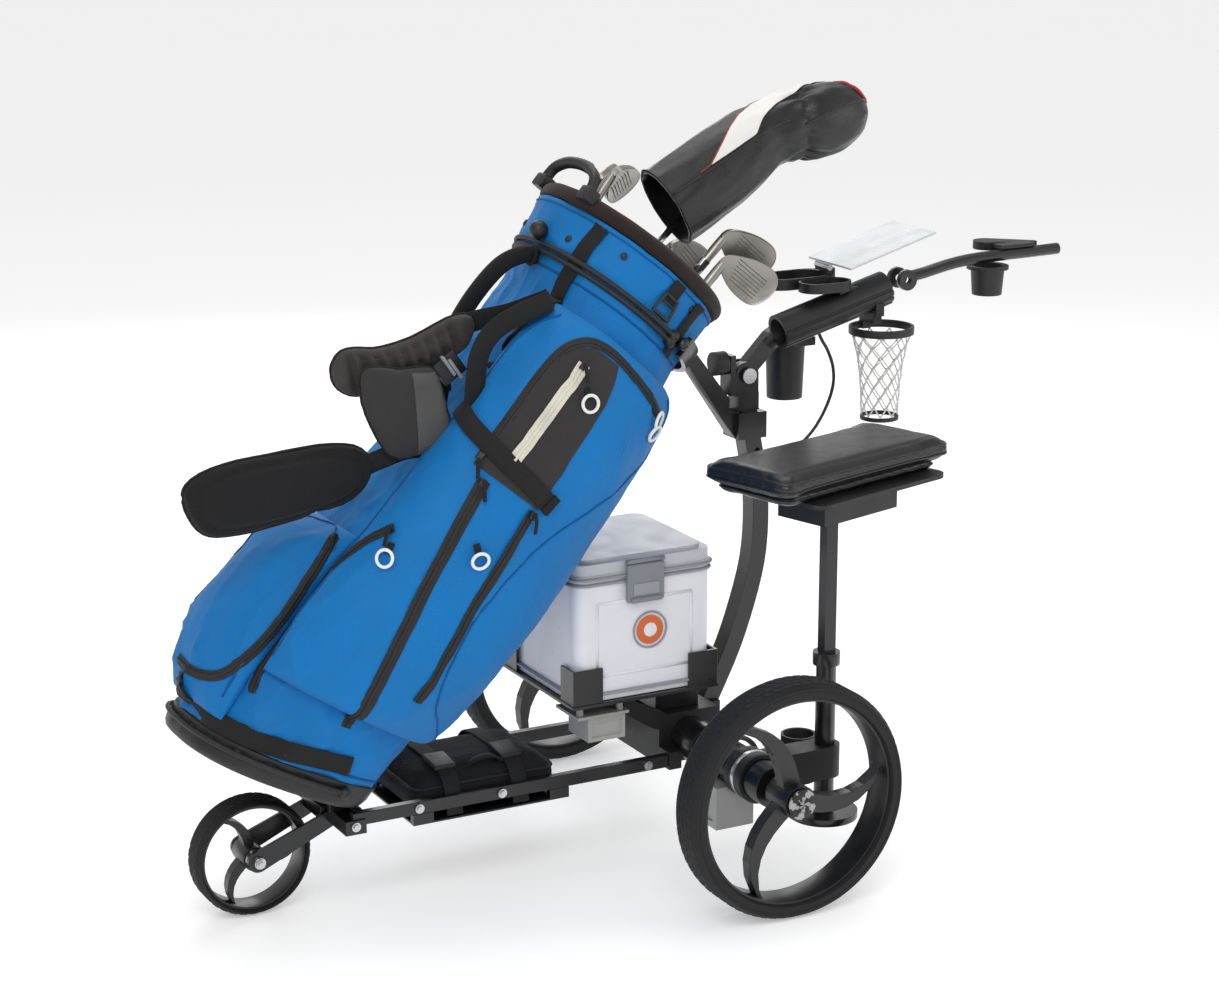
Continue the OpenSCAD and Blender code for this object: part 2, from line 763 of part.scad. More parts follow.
// Height of a ring's point: the base slants, and the slant fades out upwards
function slant(z) = base_slope * max(0, 1 - z / 260);
function bag_ring(z, inset) = [for (i = [0 : bag_sides - 1])
    let (a = i * 360 / bag_sides, r = tube_at(a, z) - inset)
    [r * cos(a), r * sin(a), z + slant(z) * r * cos(a)]];

module bag_body() {
    outer = [for (z = bag_stations) bag_ring(z, 0)];
    inner = [for (i = [len(bag_stations) - 1 : -1 : 0])
        bag_ring(bag_stations[i] + (i == 0 ? bag_wall : 0), bag_wall)];
    color("#0f6fb8") in_bag() skin(concat(outer, inner));
}

module bag_boot() {
    edge = 9;
    color("#1a1a1c") in_bag() skin([for (z = [-boot_h, -boot_h + edge, -rim_gap])
        [for (p = bag_ring(body_base, z == -boot_h ? edge : 0)) p + [0, 0, z]]]);
}

module bag_rim() {
    color("#2a2022") in_bag() translate([0, 0, body_top + gap]) difference() {
        rotate_extrude($fn = 64) translate([collar_r - 9, 13]) hull() {
            translate([-6, 0]) circle(r = 12, $fn = 20);
            translate([2, 0]) circle(r = 12, $fn = 20);
        }
        translate([0, 0, -50]) cylinder(r = 400, h = 50.6);
    }
}

// Arch handle moulded on the front of the rim
module bag_handle() {
    color("#19191b") in_bag() sweep(smooth([[-139, -66, body_top + 26], [-141, -58, body_top + 44],
        [-143, -30, body_top + 56], [-143, 0, body_top + 59], [-143, 30, body_top + 56],
        [-141, 58, body_top + 44], [-139, 66, body_top + 26]], 3), 8, 7, 10, [1, 0, 0]);
}

divider_z = 776;
divider_r = 121;

// Cross walls that part the mouth into club wells
module bag_dividers() {
    color("#222224") in_bag() intersection() {
        translate([0, 0, divider_z]) union() {
            for (x = [-42, 38]) translate([x - 2, -divider_r, 0]) cube([4, 2 * divider_r, 50]);
            for (y = [-44, 44]) translate([-divider_r, y - 2, 0]) cube([divider_r + 36, 4, 50]);
        }
        translate([0, 0, divider_z]) cylinder(r = divider_r, h = 60);
    }
}

patch_gap = 3;

// Patch that stands off the tube between two heights and two angles
module patch(z0, z1, a0, a1, depth, rows, cols, boxy) {
    function bump(u) = pow(max(0, sin(180 * u)), boxy);
    function point(i, j, out) =
        let (u = i / rows, v = j / cols, z = z0 + (z1 - z0) * u, a = a0 + (a1 - a0) * v,
            r = tube_at(a, z) + patch_gap + (out ? 1.5 + depth * bump(u) * bump(v) : 0))
        [r * cos(a), r * sin(a), z + slant(z) * r * cos(a)];
    skin([for (i = [0 : rows]) concat(
        [for (j = [0 : cols]) point(i, j, true)], [for (j = [cols : -1 : 0]) point(i, j, false)])]);
}

module pocket_front() { color("#0f6fb8") in_bag() patch(34, 300, 128, 211, 50, 10, 12, 0.5); }

module side_pockets() {
    color("#0f6fb8") in_bag() {
        patch(110, 706, 215, 326, 62, 12, 14, 0.3);
        patch(110, 700, 34, 112, 34, 12, 12, 0.3);
    }
}

module grab_handle() {
    color("#141416") in_bag() sweep(smooth([[-124, -20, 742], [-142, -20, 736], [-160, -20, 706],
        [-164, -20, 650], [-158, -20, 590], [-142, -20, 548], [-114, -20, 532]], 3), 8, 12, 10, [0, 1, 0]);
}

// Two padded shoulder straps, standing off the front of the bag
module shoulder_straps() {
    color("#161617") {
        hull() {
            translate([-42, -66, 590]) along_y(42, -17, 17);
            translate([112, -66, 606]) along_y(46, -19, 19);
        }
        hull() {
            translate([170, -66, 722]) along_y(44, -17, 17);
            translate([236, -66, 710]) along_y(48, -18, 18);
        }
    }
}

// A shock cord over the collar and one over the base
module bungees() {
    color("#101011") in_bag() for (level = [[766, 4.4, 0], [body_base, 4.4, -14]])
        sweep([for (i = [0 : 24]) let (a = 70 + i * 220 / 24, z = level[0], r = tube_at(a, z) + level[1])
            [r * cos(a), r * sin(a), z + level[2] + slant(z) * r * cos(a)]], 3.6, 3.6, 8, [0, 0, 1]);
}

// --- clubs ---------------------------------------------------------------------

// Shaft and grip from the butt a to the neck b, both in the bag's axes
module shaft(a, b) {
    v = unit(b - a);
    bar(a, a + v * 262, 12);
    bar(a + v * 262.3, b, 5);
}

driver_butt = [-66, 20, 44];
driver_neck = [46, -6, 1070];

module driver() {
    color("#8b8d90") in_bag() {
        shaft(driver_butt, driver_neck);
        translate([61, -12, 1086]) scale([1.05, 0.78, 0.62]) sphere(r = 42, $fn = 32);
    }
}

// Headcover: a wide sleeve, open below, that bends over the club's head into a bulb
module headcover() {
    d = unit(cover_to - cover_from);
    len = norm(cover_to - cover_from);
    lean = [0, acos(d[2]), atan2(d[1], d[0])];
    color("#131314") in_bag() difference() {
        union() {
            translate(cover_from) rotate(lean) scale([1, 0.82, 1])
                cylinder(r1 = 60, r2 = 56, h = len - 34, $fn = 40);
            hull() {
                translate(cover_from + d * (len - 34)) rotate(lean) scale([1, 0.82, 0.72])
                    sphere(r = 56, $fn = 32);
                translate(cover_bulb) sphere(r = 36, $fn = 24);
            }
        }
        translate(cover_from) rotate(lean) {
            translate([0, 0, -1]) scale([1, 0.82, 1]) cylinder(r = 53, h = len - 40, $fn = 40);
            translate([0, 0, len - 42]) scale([1, 0.82, 0.62]) sphere(r = 52, $fn = 40);
        }
    }
}

// Iron head: a tapering blade with a sole, on a short hosel
module iron_head(turn, size) {
    rotate([0, 0, turn]) {
        translate([0, 0, -14]) cylinder(r = 7, h = 34);
        translate([0, 0, 18]) rotate([14, 0, 0]) hull() {
            translate([0, 0, 0]) rotate([90, 0, 0]) cylinder(r = 9, h = 9, center = true, $fn = 24);
            translate([size, 0, 6]) rotate([90, 0, 0]) cylinder(r = 27, h = 8, center = true, $fn = 32);
            translate([size * 0.9, 2, 28]) rotate([90, 0, 0])
                cylinder(r = 12, h = 16, center = true, $fn = 24);
        }
    }
}

iron_butts = [[26, -33, 52], [42, -69, 56], [-70, -30, 46], [-14, 78, 46], [62, 40, 64]];
iron_necks = [[70, -60, 905], [80, -82, 872], [-80, 24, 886], [-70, 70, 880], [78, 60, 872]];
iron_turns = [-9, -22, 44, 60, 20];

module iron(i) {
    a = iron_butts[i];
    b = iron_necks[i];
    v = unit(b - a);
    color("#9b9a92") in_bag() {
        shaft(a, b - v * 14.3);
        translate(b) rotate([0, acos(v[2]), atan2(v[1], v[0])]) rotate([0, 0, -atan2(v[1], v[0])])
            iron_head(iron_turns[i], 52);
    }
}

// --- nodes ---------------------------------------------------------------------

place() front_tyre();
place() front_rim();
place() axles();
place() fork_arms();
place() fork_bridge();
place() frame_rails();
place() frame_bolts();
place() battery_tray();
place() battery_bag();
place() chassis_block();
place() axle_housing();
place() gearbox();
place() control_box();
place() rear_tyre(-1);  // rear_tyre_near
place() rear_rim(-1);  // rear_rim_near
place() rear_tyre(1);  // rear_tyre_far
place() rear_rim(1);  // rear_rim_far
place() mast();
place() hinge_bolt();
place() bag_bracket();
place() bag_cradle();
place() cooler_tray();
place() cooler_body();
place() cooler_lid();
place() cooler_latch();
place() seat_socket();
place() seat_post();
place() seat_foot();
place() seat_box();
place() seat_cushion();
place() bottle_holder();
place() control_cable();
place() handle_arm();
place() fluted_tube();
place() console_tray();
place() screen_panel();
place() drink_holder();
place() net_hoop();
place() ball_net();
place() handle_knob();
place() grip_arm();
place() grip_pod();
place() small_cup();
place() bag_body();
place() bag_rim();
place() bag_handle();
place() bag_dividers();
place() bag_boot();
place() pocket_front();
place() side_pockets();
place() grab_handle();
place() shoulder_straps();
place() bungees();
place() driver();
place() headcover();
place() iron(0);  // iron_1
place() iron(1);  // iron_2
place() iron(2);  // iron_3
place() iron(3);  // iron_4
place() iron(4);  // iron_5
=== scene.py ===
from math import ceil, cos, hypot, pi, radians, sin

import bmesh
import bpy
import numpy as np
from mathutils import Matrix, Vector, noise
from mathutils.bvhtree import BVHTree


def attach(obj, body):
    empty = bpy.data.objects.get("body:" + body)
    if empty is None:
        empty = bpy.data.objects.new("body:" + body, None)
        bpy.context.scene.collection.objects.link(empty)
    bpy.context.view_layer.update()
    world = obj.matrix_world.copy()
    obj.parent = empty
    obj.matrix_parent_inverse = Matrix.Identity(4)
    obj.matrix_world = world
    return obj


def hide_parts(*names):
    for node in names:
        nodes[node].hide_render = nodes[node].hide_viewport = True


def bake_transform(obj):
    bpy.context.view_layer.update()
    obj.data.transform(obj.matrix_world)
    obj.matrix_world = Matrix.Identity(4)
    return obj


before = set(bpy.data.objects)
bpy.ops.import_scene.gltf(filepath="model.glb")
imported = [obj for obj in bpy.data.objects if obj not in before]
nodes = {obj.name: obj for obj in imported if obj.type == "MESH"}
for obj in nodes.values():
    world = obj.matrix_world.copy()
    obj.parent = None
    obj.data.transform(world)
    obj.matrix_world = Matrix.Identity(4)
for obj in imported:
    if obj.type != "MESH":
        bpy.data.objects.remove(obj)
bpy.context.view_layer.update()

# --- places: millimetres from the front axle, turned into metres in the row frame

MID_X = 596.75
BAG_X, BAG_Z = 33.5, 220.0
LEAN = radians(49.1)
SEAT_TURN = radians(16.5)
POST = (757.0, -250.0)
FRONT_R, FRONT_HALF = 82, 22
REAR_X, REAR_Y, REAR_R, REAR_HALF = 642, 347, 165, 29
BAG_BASE, BAG_TOP = 20.0, 828.0

# Bag: half sizes to the front, the back and each side, at heights along its axis
FRONT = [(-60, 128), (0, 134), (130, 142), (240, 136), (324, 124), (420, 114), (506, 104), (712, 104),
         (774, 132), (830, 146)]
BACK = [(-60, 126), (0, 130), (100, 134), (200, 140), (700, 140), (774, 143), (830, 146)]
SIDE = [(-60, 134), (0, 138), (130, 144), (690, 142), (774, 143), (830, 146)]
ROUND = [(0, 2.5), (690, 2.4), (744, 2), (830, 2)]
# Pockets: lowest and highest z, first and last angle, depth, squareness
FRONT_POCKET = (34, 300, 128, 211, 50, 0.5)
NEAR_POCKET = (110, 706, 215, 326, 62, 0.3)
FAR_POCKET = (110, 700, 34, 112, 34, 0.3)


def at(x, y, z):
    return Vector(((x - MID_X) / 1000, y / 1000, z / 1000))


def bag(x, y, z):
    """A point in the bag's own axes: z along it, x to its back, y to the far side."""
    return at(BAG_X + z * cos(LEAN) + x * sin(LEAN), y, BAG_Z + z * sin(LEAN) - x * cos(LEAN))


BAG_UNDER = bag(1, 0, 0) - bag(0, 0, 0)
BAG_ALONG = bag(0, 0, 1) - bag(0, 0, 0)


def seat(x, y, z):
    c, s = cos(SEAT_TURN), sin(SEAT_TURN)
    return at(POST[0] + x * c - y * s, POST[1] + x * s + y * c, z)


def look(z, table):
    return float(np.interp(z, [p[0] for p in table], [p[1] for p in table]))


def tube_at(a, z):
    """Distance from the bag's axis to its tube, at angle a in degrees; 0 is its back, -90 its near side."""
    c, s = abs(cos(radians(a))), abs(sin(radians(a)))
    n = look(z, ROUND)
    x = look(z, BACK if cos(radians(a)) > 0 else FRONT)
    return ((c / x) ** n + (s / look(z, SIDE)) ** n) ** (-1 / n)


def slant(z):
    """How far the bag's lowest rings tip, per millimetre from its axis."""
    return 0.27 * max(0.0, 1 - z / 260)


def ring_point(a, z, r, drop=0.0):
    """The point at angle a, height z and distance r from the bag's axis."""
    x = r * cos(radians(a))
    return bag(x, r * sin(radians(a)), z + drop + slant(z) * x)


def ridge(p, sharpness, power):
    """A thin crest, 0 to 1, along the zero line of a noise field."""
    return max(0.0, 1 - abs(noise.noise(p)) * sharpness) ** power


def wrinkle(a, z):
    """Folds of the fabric, in millimetres: broad waves and diagonal creases, calmer on the bag's underside."""
    x, y = cos(radians(a)) * 0.9, sin(radians(a)) * 0.9
    p = Vector((x * 1.3, y * 1.3, z / 150))
    creases = ridge(Vector((x * 3 + z / 260, y * 3, z / 120)), 2.6, 3) * 4.2
    creases += ridge(Vector((x * 5 - z / 110, y * 5, z / 60 + 7)), 3.4, 4) * 1.7
    low = 0.5 + 0.5 * max(0.0, 1 - z / 330)
    height = noise.noise(p * 1.7) * 5.2 + creases * low * 1.5
    height += noise.noise(p * 4.5) * 1.8 + noise.noise(p * 11) * 0.7
    under = max(0.0, x / 0.9)
    return height * (1 - 0.8 * under) - 3 * under


def bulge(a, z, pocket):
    """How far a pocket stands out at that place; 0 outside it."""
    z0, z1, a0, a1, depth, boxy = pocket
    u, v = (z - z0) / (z1 - z0), ((a % 360) - a0) / (a1 - a0)
    if not (0 < u < 1 and 0 < v < 1):
        return 0.0
    return depth * (sin(pi * u) * sin(pi * v)) ** boxy


def skin_r(a, z):
    """Radius of the bag's outside with its pockets and folds."""
    out = max(bulge(a, z, p) for p in (FRONT_POCKET, NEAR_POCKET, FAR_POCKET))
    return tube_at(a, z) + wrinkle(a, z) + out + (4 if out > 0 else 0)


def on_bag(a, z, off=0.0):
    return ring_point(a, z, skin_r(a, z) + off)


# --- materials

def wave(tree, vector, period, direction):
    """Bands of that period in metres."""
    w = tree.nodes.new("ShaderNodeTexWave")
    w.bands_direction = direction
    w.inputs["Scale"].default_value = 0.31416 / period
    tree.links.new(vector, w.inputs["Vector"])
    return w.outputs["Fac"]


def noise_node(tree, vector, scale, detail):
    n = tree.nodes.new("ShaderNodeTexNoise")
    n.inputs["Scale"].default_value = scale
    n.inputs["Detail"].default_value = detail
    tree.links.new(vector, n.inputs["Vector"])
    return n.outputs["Fac"]


def math_node(tree, kind, a, b):
    """A two-input sum or product; each input is a number or a socket."""
    m = tree.nodes.new("ShaderNodeMath")
    m.operation = kind
    for socket, value in zip(m.inputs, (a, b)):
        if isinstance(value, (int, float)):
            socket.default_value = value
        else:
            tree.links.new(value, socket)
    return m.outputs[0]


def material(name, color, rough, metal=0.0, mottle=0.12, mottle_scale=28.0, bump=0.00012, bump_scale=700.0,
             sheen=0.0, coat=0.0, weave=0.0, ribs=0.0, cells=0.0, rough_spread=0.07, stretch=None,
             specular=0.5):
    """A procedural material. weave, ribs and cells are periods in metres of a raised pattern; 0 is none."""
    m = bpy.data.materials.new(name)
    m.use_nodes = True
    tree = m.node_tree
    shader = tree.nodes["Principled BSDF"]
    for socket, value in (("Metallic", metal), ("Sheen Weight", sheen), ("Sheen Roughness", 0.5),
                          ("Coat Weight", coat), ("Coat Roughness", 0.2), ("Specular IOR Level", specular)):
        shader.inputs[socket].default_value = value
    coord = tree.nodes.new("ShaderNodeTexCoord")
    place = coord.outputs["Object"]
    if stretch:
        mapping = tree.nodes.new("ShaderNodeMapping")
        mapping.inputs["Scale"].default_value = stretch
        tree.links.new(place, mapping.inputs["Vector"])
        place = mapping.outputs["Vector"]
    clouds = noise_node(tree, place, mottle_scale, 5.0)
    mix = tree.nodes.new("ShaderNodeMix")
    mix.data_type = "RGBA"
    mix.inputs[6].default_value = [max(0.0, c * (1 - 2 * mottle)) for c in color] + [1]
    mix.inputs[7].default_value = [min(1.0, c * (1 + 2 * mottle) + 0.003 * mottle) for c in color] + [1]
    tree.links.new(clouds, mix.inputs[0])
    tree.links.new(mix.outputs[2], shader.inputs["Base Color"])
    spread = tree.nodes.new("ShaderNodeMapRange")
    for socket, value in (("From Min", 0.3), ("From Max", 0.7), ("To Min", max(0.02, rough - rough_spread)),
                          ("To Max", min(1.0, rough + rough_spread))):
        spread.inputs[socket].default_value = value
    tree.links.new(clouds, spread.inputs["Value"])
    tree.links.new(spread.outputs["Result"], shader.inputs["Roughness"])
    height = noise_node(tree, place, bump_scale, 3.0)
    if weave:
        crossed = math_node(tree, "MULTIPLY", wave(tree, coord.outputs["UV"], weave, "X"),
                            wave(tree, coord.outputs["UV"], weave, "Y"))
        height = math_node(tree, "ADD", crossed, math_node(tree, "MULTIPLY", height, 0.5))
    if ribs:
        height = math_node(tree, "ADD", wave(tree, coord.outputs["UV"], ribs, "X"),
                           math_node(tree, "MULTIPLY", height, 0.4))
    if cells:
        v = tree.nodes.new("ShaderNodeTexVoronoi")
        v.inputs["Scale"].default_value = 1 / cells
        tree.links.new(coord.outputs["Object"], v.inputs["Vector"])
        height = math_node(tree, "ADD", v.outputs["Distance"], math_node(tree, "MULTIPLY", height, 0.3))
    b = tree.nodes.new("ShaderNodeBump")
    b.inputs["Strength"].default_value = 1.0
    b.inputs["Distance"].default_value = bump
    tree.links.new(height, b.inputs["Height"])
    tree.links.new(b.outputs["Normal"], shader.inputs["Normal"])
    return m


NYLON = material("blue_nylon", (0.0, 0.150, 0.43), 0.60, mottle=0.09, mottle_scale=9, bump=0.00022,
                 bump_scale=500, sheen=0.06, weave=0.0022, specular=0.22)
NYLON_DARK = material("blue_piping", (0.0, 0.085, 0.27), 0.6, bump_scale=900, weave=0.0012, specular=0.2)
KNIT = material("rim_knit", (0.022, 0.014, 0.013), 0.95, mottle=0.25, bump=0.0006, bump_scale=420,
                sheen=0.12, specular=0.2)
LINING = material("black_lining", (0.010, 0.010, 0.011), 0.9, weave=0.002, specular=0.2)
WEBBING = material("black_webbing", (0.010, 0.010, 0.0105), 0.72, ribs=0.0018, bump=0.0003, sheen=0.04,
                   specular=0.25)
TAPE = material("zip_tape", (0.008, 0.008, 0.009), 0.7, ribs=0.0016, bump=0.0002)
CREAM = material("cream_zip", (0.62, 0.60, 0.50), 0.6, ribs=0.002, bump=0.0003)
MESH = material("padded_mesh", (0.011, 0.011, 0.012), 0.85, mottle=0.2, cells=0.0028, bump=0.0007,
                sheen=0.06, specular=0.2)
CHARCOAL = material("charcoal_fabric", (0.030, 0.028, 0.028), 0.82, mottle=0.16, weave=0.0024, bump=0.0003,
                    sheen=0.08, specular=0.25)
STRIPE = material("grey_stripe", (0.075, 0.074, 0.073), 0.7, mottle=0.2, weave=0.002, bump=0.0003, specular=0.3)
RIBBED = material("ribbed_pad", (0.040, 0.034, 0.034), 0.7, mottle=0.2, cells=0.0022, bump=0.0004,
                  sheen=0.06, specular=0.22)
LEATHER = material("black_leather", (0.007, 0.007, 0.008), 0.34, mottle=0.1, cells=0.0018, bump=0.00012,
                   mottle_scale=40, rough_spread=0.05)
COVER_LEATHER = material("cover_leather", (0.008, 0.008, 0.009), 0.34, mottle=0.2, cells=0.0018,
                         bump=0.00025, mottle_scale=50)
COVER_WHITE = material("white_leather", (0.72, 0.71, 0.69), 0.45, mottle=0.04, cells=0.002, bump=0.0002)
RED = material("red_piping", (0.30, 0.018, 0.012), 0.5, ribs=0.0015, bump=0.0002)
TYRE = material("tyre_rubber", (0.012, 0.012, 0.013), 0.74, mottle=0.2, bump=0.0003, bump_scale=600,
                specular=0.35)
RIM = material("wheel_plastic", (0.006, 0.006, 0.007), 0.38, mottle=0.15, bump=0.00006, coat=0.15)
PAINT = material("satin_black_paint", (0.007, 0.007, 0.008), 0.32, mottle=0.15, bump=0.00005, bump_scale=1400,
                 coat=0.2)
MOULD = material("black_moulding", (0.008, 0.008, 0.009), 0.5, mottle=0.15, bump=0.00012, bump_scale=1100)
STEEL = material("bright_steel", (0.60, 0.60, 0.61), 0.28, metal=1.0, mottle=0.05, bump=0.00003,
                 stretch=(1, 8, 1))
CLUB = material("club_steel", (0.30, 0.29, 0.265), 0.34, metal=1.0, mottle=0.10, mottle_scale=50, bump=0.00003)
CLUB_DARK = material("club_recess", (0.13, 0.13, 0.13), 0.45, metal=0.9, mottle=0.15, bump=0.0001)
SHAFT = material("club_shaft", (0.66, 0.66, 0.67), 0.16, metal=1.0, mottle=0.03, bump=0.00001)
GREY_CAST = material("gear_grey", (0.36, 0.36, 0.355), 0.5, metal=0.35, mottle=0.08, bump=0.0002,
                     bump_scale=500)
BOX_GREY = material("box_grey", (0.33, 0.33, 0.32), 0.5, mottle=0.06, bump=0.0001)
WHITE = material("cooler_white", (0.74, 0.74, 0.79), 0.34, mottle=0.02, bump=0.00012, bump_scale=260, coat=0.2)
LID_GREY = material("lid_grey", (0.50, 0.51, 0.55), 0.38, mottle=0.03, bump=0.00016, bump_scale=420)
BAND = material("cooler_band", (0.28, 0.29, 0.32), 0.45, mottle=0.04, bump=0.0001)
LATCH = material("latch_grey", (0.20, 0.215, 0.235), 0.42, mottle=0.06, bump=0.0001)
ORANGE = material("emblem_orange", (0.62, 0.13, 0.035), 0.5, mottle=0.05)
RING = material("white_plastic", (0.74, 0.75, 0.76), 0.35, mottle=0.03)
PANEL = material("frosted_panel", (0.50, 0.525, 0.54), 0.3, mottle=0.01, bump=0.00001)
NET = material("net_cord", (0.66, 0.66, 0.64), 0.8, mottle=0.08, ribs=0.002, bump=0.0002)
CORD = material("black_cord", (0.010, 0.010, 0.011), 0.6, ribs=0.003, bump=0.0004)
CABLE = material("cable_rubber", (0.009, 0.009, 0.010), 0.5, mottle=0.1)
GRIP_RUBBER = material("grip_rubber", (0.012, 0.012, 0.013), 0.8, cells=0.003, bump=0.0004)
GOLD = material("driver_face", (0.30, 0.30, 0.31), 0.25, metal=1.0, mottle=0.06)


# --- mesh helpers

def make(name, verts, faces, mats, body=None, uvs=None, smooth=True, sharp=None, pick=None):
    """A mesh object from points, on a body. mats is one material or several; pick(face index) chooses."""
    mesh = bpy.data.meshes.new(name)
    mesh.from_pydata([tuple(v) for v in verts], [], faces)
    mats = mats if isinstance(mats, (list, tuple)) else [mats]
    for m in mats:
        mesh.materials.append(m)
    layer = mesh.uv_layers.new(name="UVMap")
    if uvs is not None:
        index = np.empty(len(mesh.loops), int)
        mesh.loops.foreach_get("vertex_index", index)
        layer.data.foreach_set("uv", np.asarray(uvs, float)[index].ravel())
    bm = bmesh.new()
    bm.from_mesh(mesh)
    bmesh.ops.recalc_face_normals(bm, faces=bm.faces)
    bm.to_mesh(mesh)
    bm.free()
    for i, poly in enumerate(mesh.polygons):
        poly.use_smooth = smooth
        if pick:
            poly.material_index = pick(i)
    if smooth and sharp:
        mesh.set_sharp_from_angle(angle=radians(sharp))
    obj = bpy.data.objects.new(name, mesh)
    bpy.context.scene.collection.objects.link(obj)
    if body:
        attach(obj, body)
    return obj


def grid_faces(rows, cols, close=False):
    """Quads of a grid of points stored row by row; close joins the last column to the first."""
    faces = []
    for i in range(rows - 1):
        for j in range(cols if close else cols - 1):
            k = (j + 1) % cols
            faces.append((i * cols + j, i * cols + k, (i + 1) * cols + k, (i + 1) * cols + j))
    return faces


def closed_patch(name, front, back, rows, cols, mats, body="bag", uvs=None, sharp=None):
    """A thin closed piece from a front and a back grid of rows by cols points."""
    faces = grid_faces(rows, cols)
    n = rows * cols
    faces += [tuple(n + k for k in f)[::-1] for f in grid_faces(rows, cols)]
    rim = list(range(cols)) + [i * cols + cols - 1 for i in range(1, rows)]
    rim += [(rows - 1) * cols + j for j in range(cols - 2, -1, -1)] + [i * cols for i in range(rows - 2, 0, -1)]
    for a, b in zip(rim, rim[1:] + rim[:1]):
        faces.append((a, b, n + b, n + a))
    return make(name, front + back, faces, mats, body, uvs, sharp=sharp)


def loft(name, rings, mats, body=None, caps=True, sharp=None, pick=None):
    """A skin through closed rings with the same number of points."""
    n = len(rings[0])
    verts = [p for r in rings for p in r]
    faces = grid_faces(len(rings), n, close=True)
    if caps:
        faces += [tuple(range(n))[::-1], tuple(range((len(rings) - 1) * n, len(rings) * n))]
    uvs, along = [], 0.0
    for i, ring in enumerate(rings):
        along += (Vector(ring[0]) - Vector(rings[i - 1][0])).length if i else 0.0
        around = 0.0
        for j in range(n):
            around += (Vector(ring[j]) - Vector(ring[j - 1])).length if j else 0.0
            uvs.append((along, around))
    return make(name, verts, faces, mats, body, uvs, sharp=sharp, pick=pick)


def spline(points, steps=6, closed=False):
    """Catmull-Rom curve through the points."""
    p = [Vector(q) for q in points]
    n = len(p)
    out = []
    for i in range(n if closed else n - 1):
        a, b, c, d = ((p[(i + k) % n] for k in (-1, 0, 1, 2)) if closed
                      else (p[max(i - 1, 0)], p[i], p[i + 1], p[min(i + 2, n - 1)]))
        for k in range(steps):
            t = k / steps
            out.append(0.5 * (2 * b + (c - a) * t + (2 * a - 5 * b + 4 * c - d) * t * t
                              + (3 * b - a - 3 * c + d) * t ** 3))
    return out if closed else out + [p[-1]]


def sweep(name, path, size, mat, body=None, up=None, n=10, closed=False, square=2.0, caps=True, normals=None):
    """A bar along a path. size is a radius, or (half width across, half thickness along up), in metres."""
    count = len(path)
    rings = []
    for i, p in enumerate(path):
        ahead = path[(i + 1) % count] if closed or i < count - 1 else p
        behind = path[i - 1] if closed or i else p
        t = (ahead - behind).normalized()
        ref = normals[i] if normals else Vector(up or (0, 0, 1))
        side = t.cross(ref)
        if side.length < 1e-5:
            side = t.cross(Vector((0, 1, 0.3)))
        side.normalize()
        top = side.cross(t).normalized()
        value = size(i / (count - 1)) if callable(size) else size
        w, h = value if isinstance(value, tuple) else (value, value)
        ring = []
        for j in range(n):
            u = 2 * pi * (j + 0.5) / n
            c, s = cos(u), sin(u)
            k = (abs(c) ** square + abs(s) ** square) ** (-1 / square)
            ring.append(p + side * (w * c * k) + top * (h * s * k))
        rings.append(ring)
    if closed:
        rings.append(rings[0])
        return loft(name, rings, mat, body, caps=False)
    return loft(name, rings, mat, body, caps=caps)


def ball(name, centre, axis, radius, steps, mat, n, body="bag"):
    profile = [(radius * sin(pi * i / steps), -radius * cos(pi * i / steps)) for i in range(steps + 1)]
    return lathe(name, profile, centre, axis, mat, body, n=n, sharp=None, closed=False)


def strap(name, path, normals, width, thick, mat, body=None):
    """Flat webbing: a rounded rectangle swept along a path, flat against the normals."""
    return sweep(name, path, (width / 2, thick / 2), mat, body, n=12, square=7.0, normals=normals)


def lathe(name, profile, centre, axis, mats, body=None, n=48, sharp=35, pick=None, closed=True):
    """Revolves (radius, height) points round an axis through centre."""
    z = Vector(axis).normalized()
    x = z.cross(Vector((0.3, 0.9, 0.2))).normalized()
    y = z.cross(x)
    rings = []
    for j in range(n):
        u = 2 * pi * j / n
        d = x * cos(u) + y * sin(u)
        rings.append([centre + d * r + z * h for r, h in profile])
    m = len(profile)
    verts = [p for r in rings for p in r]
    faces = []
    for j in range(n):
        k = (j + 1) % n
        for i in range(m if closed else m - 1):
            l = (i + 1) % m
            faces.append((j * m + i, j * m + l, k * m + l, k * m + i))
    return make(name, verts, faces, mats, body, sharp=sharp, pick=(lambda f: pick(f % m)) if pick else None)


def torus(name, centre, axis, big, small, mat, body=None, n=36, m=10):
    return lathe(name, [(big + small * cos(2 * pi * i / m), small * sin(2 * pi * i / m)) for i in range(m)],
                 centre, axis, mat, body, n=n, sharp=None)


def block(name, centre, half, mat, body=None, axes=None, bevel=0.002, segments=3, shape=None):
    """A box with rounded edges. axes are its three directions; shape(point) may move its points."""
    bm = bmesh.new()
    bmesh.ops.create_cube(bm, size=2.0)
    bmesh.ops.scale(bm, vec=half, verts=bm.verts)
    if bevel:
        bmesh.ops.bevel(bm, geom=bm.edges[:], offset=bevel, segments=segments, profile=0.6, affect="EDGES")
    if shape:
        for v in bm.verts:
            v.co = shape(v.co)
    ax = [Vector(a).normalized() for a in (axes or ((1, 0, 0), (0, 1, 0), (0, 0, 1)))]
    verts = [Vector(centre) + ax[0] * v.co.x + ax[1] * v.co.y + ax[2] * v.co.z for v in bm.verts]
    faces = [tuple(v.index for v in f.verts) for f in bm.faces]
    bm.free()
    return make(name, verts, faces, mat, body, sharp=40)


